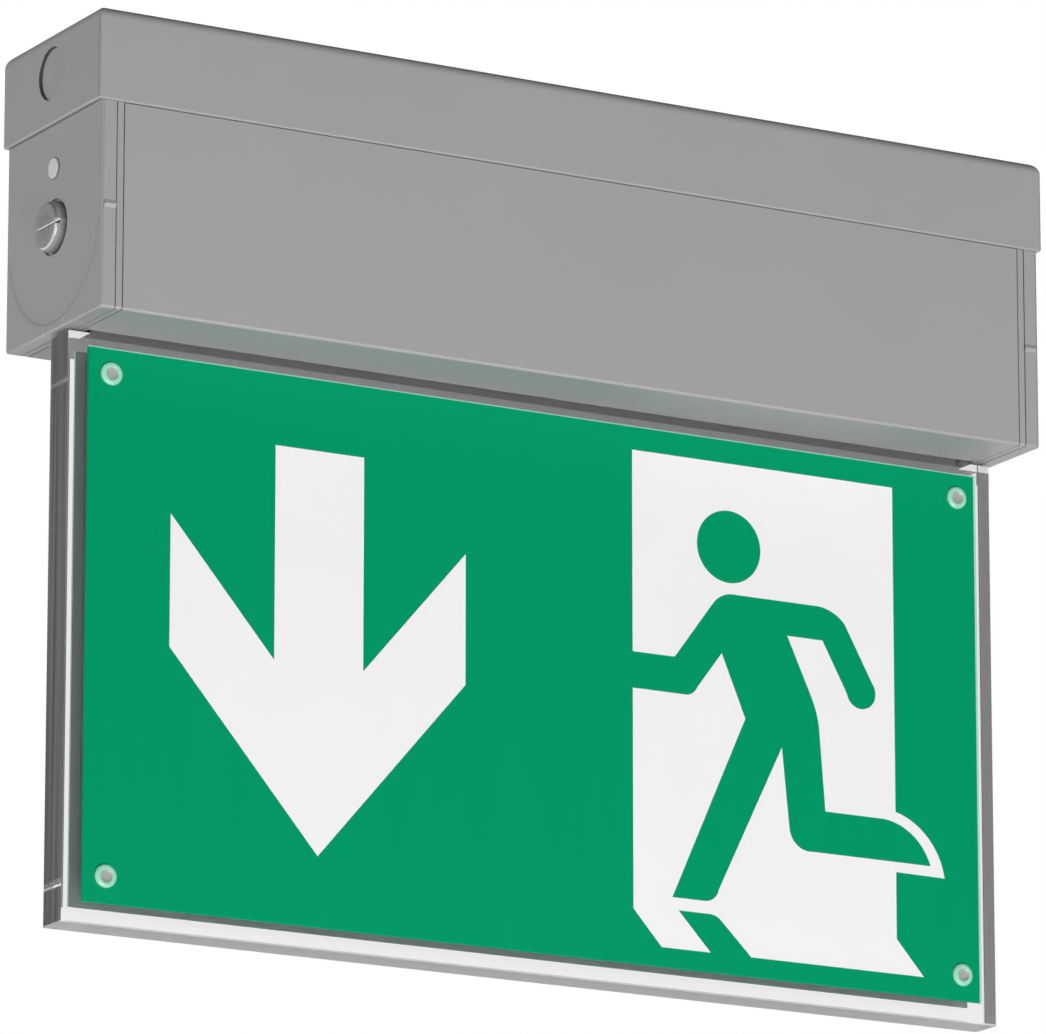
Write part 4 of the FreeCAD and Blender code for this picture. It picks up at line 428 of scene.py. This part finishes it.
def makePrintedGreen():
    material, tree = startMaterial("polycarbonate_sheet_screen_printed_green")
    coords = addNode(tree, "ShaderNodeTexCoord").outputs["Object"]
    along = addNode(tree, "ShaderNodeMapping", {"Scale": (1, 1, sheetSet["streakStretch"])}, {"Vector": coords})
    streak = addNode(tree, "ShaderNodeTexNoise", {"Scale": patternScale(sheetSet["streakMm"]), "Detail": 2},
                     {"Vector": along.outputs["Vector"]})
    mottle = addNode(tree, "ShaderNodeTexNoise", {"Scale": patternScale(sheetSet["mottleMm"]), "Detail": 3},
                     {"Vector": coords})
    ink = addNode(tree, "ShaderNodeMix", {"data_type": "RGBA", 6: hexColour(sheetSet["ink"]),
                                          7: hexColour(sheetSet["thin"])}, {0: streak.outputs["Fac"]})
    place = addNode(tree, "ShaderNodeSeparateXYZ", None, {"Vector": coords})
    depth = addNode(tree, "ShaderNodeMath", {"operation": "ABSOLUTE"}, {0: place.outputs["Y"]})
    onBack = addNode(tree, "ShaderNodeMath", {"operation": "LESS_THAN", 1: sheetSet["filmBelow"] * mm},
                     {0: depth.outputs["Value"]})
    nearTop = addNode(tree, "ShaderNodeMath",
                      {"operation": "GREATER_THAN", 1: -(sheetSet["topDrop"] + sheetSet["paleTop"]) * mm},
                      {0: place.outputs["Z"]})
    facing = addNode(tree, "ShaderNodeMath", {"operation": "SIGN"}, {0: place.outputs["Y"]})
    readRight = addNode(tree, "ShaderNodeMath", {"operation": "MULTIPLY"},
                        {0: place.outputs["X"], 1: facing.outputs["Value"]})
    nearRight = addNode(tree, "ShaderNodeMath",
                        {"operation": "LESS_THAN", 1: -(sheetSet["halfWidth"] - sheetSet["paleRight"]) * mm},
                        {0: readRight.outputs["Value"]})
    paleBand = addNode(tree, "ShaderNodeMath", {"operation": "MAXIMUM"},
                   {0: nearTop.outputs["Value"], 1: nearRight.outputs["Value"]})
    front = addNode(tree, "ShaderNodeMix", {"data_type": "RGBA", 7: hexColour(sheetSet["edge"])},
                    {0: paleBand.outputs["Value"], 6: ink.outputs[2]})
    colour = addNode(tree, "ShaderNodeMix", {"data_type": "RGBA", 7: hexColour(sheetSet["film"])},
                     {0: onBack.outputs["Value"], 6: front.outputs[2]})
    finishSurface(tree, sheetSet, mottle.outputs["Fac"], colour.outputs[2],
                  {"IOR": sheetSet["ior"], "Specular IOR Level": sheetSet["specular"]})
    return material


def addLoop(bm, points, depth):
    return [bm.verts.new((x * mm, depth * mm, z * mm)) for x, z in points]


def joinLoops(bm, first, second):
    for i in range(len(first)):
        bm.faces.new((first[i - 1], first[i], second[i], second[i - 1]))


def capLoops(bm, loops):
    edges = [bm.edges.get((loop[i - 1], loop[i])) for loop in loops for i in range(len(loop))]
    bmesh.ops.triangle_fill(bm, use_beauty=True, use_dissolve=False, edges=edges)


def circle(x, z, radius, sides):
    turns = [2 * math.pi * i / sides for i in range(sides)]
    return [(x + radius * math.cos(t), z + radius * math.sin(t)) for t in turns]


def sheetOutline(inset):
    side, top = sheetSet["halfWidth"] - inset, inset + sheetSet["topDrop"]
    bottom = sheetSet["topDrop"] + sheetSet["height"] - inset
    return [(-side, -top), (side, -top), (side, -bottom), (-side, -bottom)]


def rivetPlaces():
    side = sheetSet["halfWidth"] - sheetSet["rivetInsetWide"]
    top = sheetSet["topDrop"] + sheetSet["rivetInsetTall"]
    bottom = sheetSet["topDrop"] + sheetSet["height"] - sheetSet["rivetInsetTall"]
    return [(x, z) for x in (-side, side) for z in (-top, -bottom)]


def buildSheet(name, nodeName, facing):
    bm = bmesh.new()
    bevel = sheetSet["bevel"]
    back, front = facing * sheetSet["back"], facing * sheetSet["front"]
    shoulder = facing * (sheetSet["front"] - bevel)
    rear = addLoop(bm, sheetOutline(0), back)
    edge = addLoop(bm, sheetOutline(0), shoulder)
    face = addLoop(bm, sheetOutline(bevel), front)
    joinLoops(bm, rear, edge)
    joinLoops(bm, edge, face)
    holesBack, holesFront = [], []
    for x, z in rivetPlaces():
        hole = circle(x, z, sheetSet["holeRadius"], sheetSet["holeSides"])
        holesBack.append(addLoop(bm, hole, back))
        holesFront.append(addLoop(bm, hole, front))
        joinLoops(bm, holesBack[-1], holesFront[-1])
    capLoops(bm, [rear] + holesBack)
    capLoops(bm, [face] + holesFront)
    bmesh.ops.recalc_face_normals(bm, faces=bm.faces[:])
    piece = addPiece(name, bm, [finishes["sign_green"]], smooth=False)
    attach(piece, "light")
    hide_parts(nodeName)


# White screen ink on the sheet: matt, with a faint mark from the screen's mesh.
whiteSet = {
    "ink": "#efeef0", "thin": "#ebeaec", "cloudMm": 25,
    "meshMm": 1.4,  # the real mesh is near 0.15 mm, drawn coarser so that it shows
    "relief": 0.12, "reliefMm": 0.006, "roughness": (0.45, 0.58), "ior": 1.5, "specular": 0.3,
}


def makePrintedWhite():
    material, tree = startMaterial("screen_ink_white")
    coords = addNode(tree, "ShaderNodeTexCoord").outputs["Object"]
    cloud = addNode(tree, "ShaderNodeTexNoise", {"Scale": patternScale(whiteSet["cloudMm"]), "Detail": 3},
                    {"Vector": coords})
    weave = addNode(tree, "ShaderNodeTexNoise", {"Scale": patternScale(whiteSet["meshMm"]), "Detail": 1},
                    {"Vector": coords})
    colour = addNode(tree, "ShaderNodeMix", {"data_type": "RGBA", 6: hexColour(whiteSet["thin"]),
                                             7: hexColour(whiteSet["ink"])}, {0: cloud.outputs["Fac"]})
    finishSurface(tree, whiteSet, weave.outputs["Fac"], colour.outputs[2],
                  {"IOR": whiteSet["ior"], "Specular IOR Level": whiteSet["specular"]})
    return material


# Clear polyamide rivets, moulded and pressed: a low domed ring round a dimple at each end, turned from one profile of
# radius and reach. The ring looks mint because the green shows through it, and the pressed dimple is grey.
rivetSet = {
    "ring": "#9cd9be", "ringDeep": "#88cdb0", "dimple": "#9ea29a", "cloudMm": 2, "relief": 0.1, "reliefMm": 0.01,
    "roughness": (0.18, 0.3), "ior": 1.53, "scatter": 0.2, "scatterSpread": (0.5, 0.6, 0.55), "scatterMm": 0.8,
    "sides": 48,
    "dimpleProfile": [(0, 7.86), (1.0, 7.88), (1.55, 7.93), (1.78, 8.05)],
    "ringProfile": [(1.9, 8.24), (2.1, 8.3), (2.6, 8.3), (2.95, 8.25),
                    (3.25, 8.1), (3.44, 7.85), (3.5, 7.55), (3.5, 7.2)],
    "pinProfile": [(1.6, 7.2)],
}


def makeRivetMaterial(name, first, second):
    material, tree = startMaterial(name)
    coords = addNode(tree, "ShaderNodeTexCoord").outputs["Object"]
    cloud = addNode(tree, "ShaderNodeTexNoise", {"Scale": patternScale(rivetSet["cloudMm"]), "Detail": 3},
                    {"Vector": coords})
    colour = addNode(tree, "ShaderNodeMix", {"data_type": "RGBA", 6: hexColour(first), 7: hexColour(second)},
                     {0: cloud.outputs["Fac"]})
    finishSurface(tree, rivetSet, cloud.outputs["Fac"], colour.outputs[2],
                  {"IOR": rivetSet["ior"], "Subsurface Weight": rivetSet["scatter"],
                   "Subsurface Radius": rivetSet["scatterSpread"], "Subsurface Scale": rivetSet["scatterMm"] * mm})
    return material


def buildRivets():
    bm = bmesh.new()
    half = rivetSet["dimpleProfile"] + rivetSet["ringProfile"] + rivetSet["pinProfile"]
    profile = half + [(radius, -reach) for radius, reach in reversed(half)]
    dimpleSteps = len(rivetSet["dimpleProfile"])
    sides = rivetSet["sides"]
    for x, z in rivetPlaces():
        rows = []
        for radius, reach in profile:
            rows.append(addLoop(bm, circle(x, z, radius, sides) if radius else [(x, z)], -reach))
        last = len(rows) - 2
        for step in range(last + 1):
            near, far = rows[step], rows[step + 1]
            pressed = min(step, last - step) < dimpleSteps or step == last - step
            for i in range(sides):
                corners = [near[i % len(near)], near[(i + 1) % len(near)], far[(i + 1) % len(far)], far[i % len(far)]]
                face = bm.faces.new(list(dict.fromkeys(corners)))  # the middle of a dimple has only three corners
                face.material_index = 1 if pressed else 0
    bmesh.ops.recalc_face_normals(bm, faces=bm.faces[:])
    piece = addPiece("sheetRivets", bm, [finishes["rivet_plastic"], rivetDimple])
    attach(piece, "light")
    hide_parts("sheet_rivets")


# Moulded rubber and plastics inside and on top: each takes a colour pair, a grain and a roughness range.
# Rubber is dull with a grey bloom, polyamide is waxy, epoxy is dense and dark, sleeve film and lead skin are smooth.
mouldedSet = {
    "grommet_rubber": {"name": "rubber_moulded_black", "colours": ("#1a1a1b", "#2a2a2b"), "grainMm": 3,
                       "roughness": (0.6, 0.78), "ior": 1.52, "relief": 0.4, "reliefMm": 0.03},
    "terminal_plastic": {"name": "polyamide_moulded_natural", "colours": ("#d8d4c8", "#cfcabd"), "grainMm": 4,
                         "roughness": (0.4, 0.52), "ior": 1.53, "relief": 0.4, "reliefMm": 0.02},
    "component_black": {"name": "epoxy_moulded_black", "colours": ("#171718", "#222224"), "grainMm": 1.2,
                        "roughness": (0.42, 0.6), "ior": 1.55, "relief": 0.4, "reliefMm": 0.03},
    "battery_sleeve": {"name": "shrink_film_blue", "colours": ("#1f4f9c", "#2a5cab"), "grainMm": 9,
                       "roughness": (0.18, 0.32), "ior": 1.53, "relief": 0.4, "reliefMm": 0.15},
    "lead_pvc": {"name": "pvc_extruded_black", "colours": ("#1c1c1e", "#252527"), "grainMm": 2,
                 "roughness": (0.38, 0.5), "ior": 1.53, "relief": 0.4, "reliefMm": 0.02},
    "lamp_clear": {"name": "silicone_lens_phosphor", "colours": ("#efe0a2", "#e6d48c"), "grainMm": 0.8,
                   "roughness": (0.12, 0.22), "ior": 1.41, "relief": 0.4, "reliefMm": 0.01},
}


def makeMoulded(settings):
    material, tree = startMaterial(settings["name"])
    coords = addNode(tree, "ShaderNodeTexCoord").outputs["Object"]
    grain = addNode(tree, "ShaderNodeTexNoise", {"Scale": patternScale(settings["grainMm"]), "Detail": 4},
                    {"Vector": coords})
    first, second = settings["colours"]
    colour = addNode(tree, "ShaderNodeMix", {"data_type": "RGBA", 6: hexColour(first), 7: hexColour(second)},
                     {0: grain.outputs["Fac"]})
    finishSurface(tree, settings, grain.outputs["Fac"], colour.outputs[2], {"IOR": settings["ior"]})
    return material


# Bare metals inside: zinc plate is a fine crystal spangle with a faint yellow passivation, the extruded rail has
# long die lines along its length.
metalSet = {
    "zinc_steel": {"name": "steel_zinc_plated", "colours": ("#b6b9bc", "#c0bdae"), "stretch": (1, 1, 1),
                   "grainMm": 1.5, "cloudMm": 15, "roughness": (0.28, 0.46), "relief": 0.3, "reliefMm": 0.01},
    "rail_aluminium": {"name": "aluminium_extruded_mill", "colours": ("#c6c7c9", "#b7b8ba"), "stretch": (0.02, 1, 1),
                       "grainMm": 0.8, "cloudMm": 8, "roughness": (0.3, 0.44), "relief": 0.3, "reliefMm": 0.012},
}


def makeBareMetal(settings):
    material, tree = startMaterial(settings["name"])
    coords = addNode(tree, "ShaderNodeTexCoord").outputs["Object"]
    drawn = addNode(tree, "ShaderNodeMapping", {"Scale": settings["stretch"]}, {"Vector": coords})
    grain = addNode(tree, "ShaderNodeTexVoronoi", {"Scale": patternScale(settings["grainMm"])},
                    {"Vector": drawn.outputs["Vector"]})
    cloud = addNode(tree, "ShaderNodeTexNoise", {"Scale": patternScale(settings["cloudMm"]), "Detail": 3},
                    {"Vector": drawn.outputs["Vector"]})
    first, second = settings["colours"]
    colour = addNode(tree, "ShaderNodeMix", {"data_type": "RGBA", 6: hexColour(first), 7: hexColour(second)},
                     {0: cloud.outputs["Fac"]})
    finishSurface(tree, settings, grain.outputs["Distance"], colour.outputs[2], {"Metallic": 1})
    return material


# Glass-epoxy board under green solder mask: copper tracks show as slightly raised, paler lanes.
boardSet = {"mask": "#0d5230", "track": "#1b6e44", "laneMm": 2.5, "trackMm": 0.3, "relief": 0.4, "reliefMm": 0.03,
            "roughness": 0.3, "ior": 1.55}


def makeSolderMask():
    material, tree = startMaterial("glass_epoxy_solder_mask")
    coords = addNode(tree, "ShaderNodeTexCoord").outputs["Object"]
    laneScale = patternScale(boardSet["laneMm"]) / 2  # a brick is half a unit long
    lanes = addNode(tree, "ShaderNodeTexBrick",
                    {"Scale": laneScale, "Mortar Size": boardSet["trackMm"] * mm * laneScale,
                     "Color1": (0, 0, 0, 1), "Color2": (0, 0, 0, 1), "Mortar": (1, 1, 1, 1)}, {"Vector": coords})
    colour = addNode(tree, "ShaderNodeMix", {"data_type": "RGBA", 6: hexColour(boardSet["mask"]),
                                             7: hexColour(boardSet["track"])}, {0: lanes.outputs["Fac"]})
    bump = addNode(tree, "ShaderNodeBump", {"Strength": boardSet["relief"], "Distance": boardSet["reliefMm"] * mm},
                   {"Height": lanes.outputs["Fac"]})
    shader = addNode(tree, "ShaderNodeBsdfPrincipled", {"IOR": boardSet["ior"], "Roughness": boardSet["roughness"]},
                     {"Base Color": colour.outputs[2], "Normal": bump.outputs["Normal"]})
    addNode(tree, "ShaderNodeOutputMaterial", None, {"Surface": shader.outputs["BSDF"]})
    return material


finishes = {
    "housing_plastic": makeMouldedHousing(),
    "lock_zinc": makeTurnedLock(),
    "button_plastic": makeLightPipeButton(),
    "clear_acrylic": makeCastAcrylic(),
    "sign_green": makePrintedGreen(),
    "sign_white": makePrintedWhite(),
    "rivet_plastic": makeRivetMaterial("polyamide_rivet_clear", rivetSet["ring"], rivetSet["ringDeep"]),
    "circuit_board": makeSolderMask(),
}
finishes.update({slotName: makeMoulded(settings) for slotName, settings in mouldedSet.items()})
finishes.update({slotName: makeBareMetal(settings) for slotName, settings in metalSet.items()})
rivetDimple = makeRivetMaterial("polyamide_rivet_dimple", rivetSet["dimple"], rivetSet["dimple"])

for subpart in frame["record"]["subparts"]:
    node = frame["nodes"][subpart["node"]]
    node.data.materials.clear()
    node.data.materials.append(finishes[subpart["material_slot"]])
print("finishes made:", len(finishes))

buildSheet("frontSheet", "front_sign_sheet", -1)
buildSheet("rearSheet", "rear_sign_sheet", 1)
print("sign sheets built")

buildRivets()
print("rivets built")

# Floor, cards and sky, in metres. The floor lies low enough that the sign can also be seen from straight below.
stageSet = {
    "floorDrop": 4.2, "floorHalf": 16.4, "floorColour": "#e9e9e7", "floorRollerMm": 40, "floorWhite": 0.9,
    "cardFrom": (-0.9, 1.64, 0.26), "cardFacing": (0.16, 0, -0.18), "cardHalf": 0.75, "cardColour": "#878587",
    "cardFadeMm": 600, "cardLevel": (0.85, 1.15),
    "ceilingRise": 0.5, "ceilingHalf": 1.6, "ceilingColour": "#2b2a2c", "ceilingRollerMm": 60,
    "rollerRelief": 0.05, "rollerReliefMm": 0.1,
    "skyBetween": (-0.4, 0.5), "skyLevel": (0.42, 0.04), "white": (1, 1, 1, 1),
}


# what the camera, mirrors and clear plastic see is plain white
def seenDirectly(tree):
    path = addNode(tree, "ShaderNodeLightPath")
    mirrored = addNode(tree, "ShaderNodeMath", {"operation": "MAXIMUM"},
                       {0: path.outputs["Is Glossy Ray"], 1: path.outputs["Is Transmission Ray"]})
    return addNode(tree, "ShaderNodeMath", {"operation": "MAXIMUM"},
                   {0: path.outputs["Is Camera Ray"], 1: mirrored.outputs["Value"]}).outputs["Value"]


def rolledPaint(tree, colour, rollerMm):
    coords = addNode(tree, "ShaderNodeTexCoord").outputs["Object"]
    roller = addNode(tree, "ShaderNodeTexNoise", {"Scale": patternScale(rollerMm), "Detail": 3}, {"Vector": coords})
    bump = addNode(tree, "ShaderNodeBump",
                   {"Strength": stageSet["rollerRelief"], "Distance": stageSet["rollerReliefMm"] * mm},
                   {"Height": roller.outputs["Fac"]})
    return addNode(tree, "ShaderNodeBsdfDiffuse", {"Color": hexColour(colour)},
                   {"Normal": bump.outputs["Normal"]}).outputs["BSDF"]


def addFlat(name, material, half, segments):
    bm = bmesh.new()
    bmesh.ops.create_grid(bm, x_segments=segments, y_segments=segments, size=half)
    return addPiece(name, bm, [material])


def buildFloor():
    material, tree = startMaterial("studio_floor_pale_paint")
    paint = rolledPaint(tree, stageSet["floorColour"], stageSet["floorRollerMm"])
    glow = addNode(tree, "ShaderNodeEmission", {"Strength": 1})
    share = addNode(tree, "ShaderNodeMath", {"operation": "MULTIPLY", 1: stageSet["floorWhite"]},
                    {0: seenDirectly(tree)})
    mixed = addNode(tree, "ShaderNodeMixShader", None, {0: share.outputs["Value"], 1: paint,
                                                        2: glow.outputs["Emission"]})
    addNode(tree, "ShaderNodeOutputMaterial", None, {"Surface": mixed.outputs["Shader"]})
    floor = addFlat("floor", material, half=stageSet["floorHalf"], segments=8)
    floor.location = (0, 0, -stageSet["floorDrop"])


# a grey card behind and to the left, which only the acrylic's end and the metal mirror
def buildCard():
    material, tree = startMaterial("studio_card_grey")
    coords = addNode(tree, "ShaderNodeTexCoord").outputs["Object"]
    fade = addNode(tree, "ShaderNodeTexNoise", {"Scale": patternScale(stageSet["cardFadeMm"]), "Detail": 1},
                   {"Vector": coords})
    low, high = stageSet["cardLevel"]
    level = addNode(tree, "ShaderNodeMapRange", {"To Min": low, "To Max": high}, {"Value": fade.outputs["Fac"]})
    glow = addNode(tree, "ShaderNodeEmission", {"Color": hexColour(stageSet["cardColour"])},
                   {"Strength": level.outputs["Result"]})
    addNode(tree, "ShaderNodeOutputMaterial", None, {"Surface": glow.outputs["Emission"]})
    card = addFlat("greyCard", material, half=stageSet["cardHalf"], segments=4)
    card.location = stageSet["cardFrom"]
    card.rotation_euler = (Vector(stageSet["cardFacing"]) - card.location).to_track_quat("Z", "Y").to_euler()
    card.visible_camera = card.visible_diffuse = card.visible_shadow = False


# a dark ceiling that only glossy surfaces mirror, so upper edges stay dark
def buildCeiling():
    material, tree = startMaterial("studio_ceiling_dark_paint")
    paint = rolledPaint(tree, stageSet["ceilingColour"], stageSet["ceilingRollerMm"])
    addNode(tree, "ShaderNodeOutputMaterial", None, {"Surface": paint})
    ceiling = addFlat("darkCeiling", material, half=stageSet["ceilingHalf"], segments=4)
    ceiling.location = (0, 0, stageSet["ceilingRise"])
    ceiling.visible_camera = ceiling.visible_diffuse = ceiling.visible_transmission = ceiling.visible_shadow = False


# a soft sky that is lighter below, as from a pale floor
def buildSky():
    world = bpy.data.worlds.new("studio")
    bpy.context.scene.world = world
    world.use_nodes = True
    tree = world.node_tree
    tree.nodes.clear()
    height = addNode(tree, "ShaderNodeSeparateXYZ", None,
                     {"Vector": addNode(tree, "ShaderNodeTexCoord").outputs["Generated"]})
    bottom, top = stageSet["skyBetween"]
    low, high = stageSet["skyLevel"]
    soft = addNode(tree, "ShaderNodeMapRange", {"From Min": bottom, "From Max": top, "To Min": low, "To Max": high},
                   {"Value": height.outputs["Z"]})
    sky = addNode(tree, "ShaderNodeBackground", {"Color": stageSet["white"]}, {"Strength": soft.outputs["Result"]})
    white = addNode(tree, "ShaderNodeBackground", {"Color": stageSet["white"], "Strength": 1})
    mixed = addNode(tree, "ShaderNodeMixShader", None, {0: seenDirectly(tree), 1: sky.outputs["Background"],
                                                        2: white.outputs["Background"]})
    addNode(tree, "ShaderNodeOutputWorld", None, {"Surface": mixed.outputs["Shader"]})


# The main lamp hangs in front of the sign and below it, so upper edges stay darker. The fills light the left end, the
# back, and the top with the right end.
lampSet = {
    "frontLamp": {"from": (0, -2.3, -1.45), "size": 1.5, "watts": 76, "mirrored": True},
    "leftFill": {"from": (-2.2, 0.2, -0.35), "size": 1.2, "watts": 32, "mirrored": False},
    "rearFill": {"from": (0.6, 2.1, -0.6), "size": 1.5, "watts": 16, "mirrored": False},
    "topFill": {"from": (1.5, 1.5, 1.2), "size": 1.5, "watts": 40, "mirrored": False},
}
lampTarget = Vector((0, 0, -0.13))  # the middle of the light


def buildLamps():
    for name, settings in lampSet.items():
        lamp = bpy.data.lights.new(name, "AREA")
        lamp.size = settings["size"]
        lamp.energy = settings["watts"]
        holder = bpy.data.objects.new(name, lamp)
        holder.location = settings["from"]
        holder.rotation_euler = (lampTarget - holder.location).to_track_quat("-Z", "Y").to_euler()
        holder.visible_camera = holder.visible_transmission = False
        holder.visible_glossy = settings["mirrored"]
        bpy.context.scene.collection.objects.link(holder)


cameraSet = {"place": (-1.26401, -2.18860, -0.76789), "azimuth": -29.940, "elevation": -14.225, "lens": 298.32,
             "sensor": 36}


def buildCamera():
    data = bpy.data.cameras.new("camera")
    data.sensor_width = cameraSet["sensor"]
    data.lens = cameraSet["lens"]
    camera = bpy.data.objects.new("camera", data)
    camera.location = cameraSet["place"]
    camera.rotation_euler = (math.radians(90 - cameraSet["elevation"]), 0, math.radians(cameraSet["azimuth"]))
    bpy.context.scene.collection.objects.link(camera)
    bpy.context.scene.camera = camera


buildFloor()
buildCard()
buildCeiling()
buildSky()
buildLamps()
buildCamera()
bpy.context.scene.view_settings.view_transform = "Standard"
print("stage, lamps and camera set")
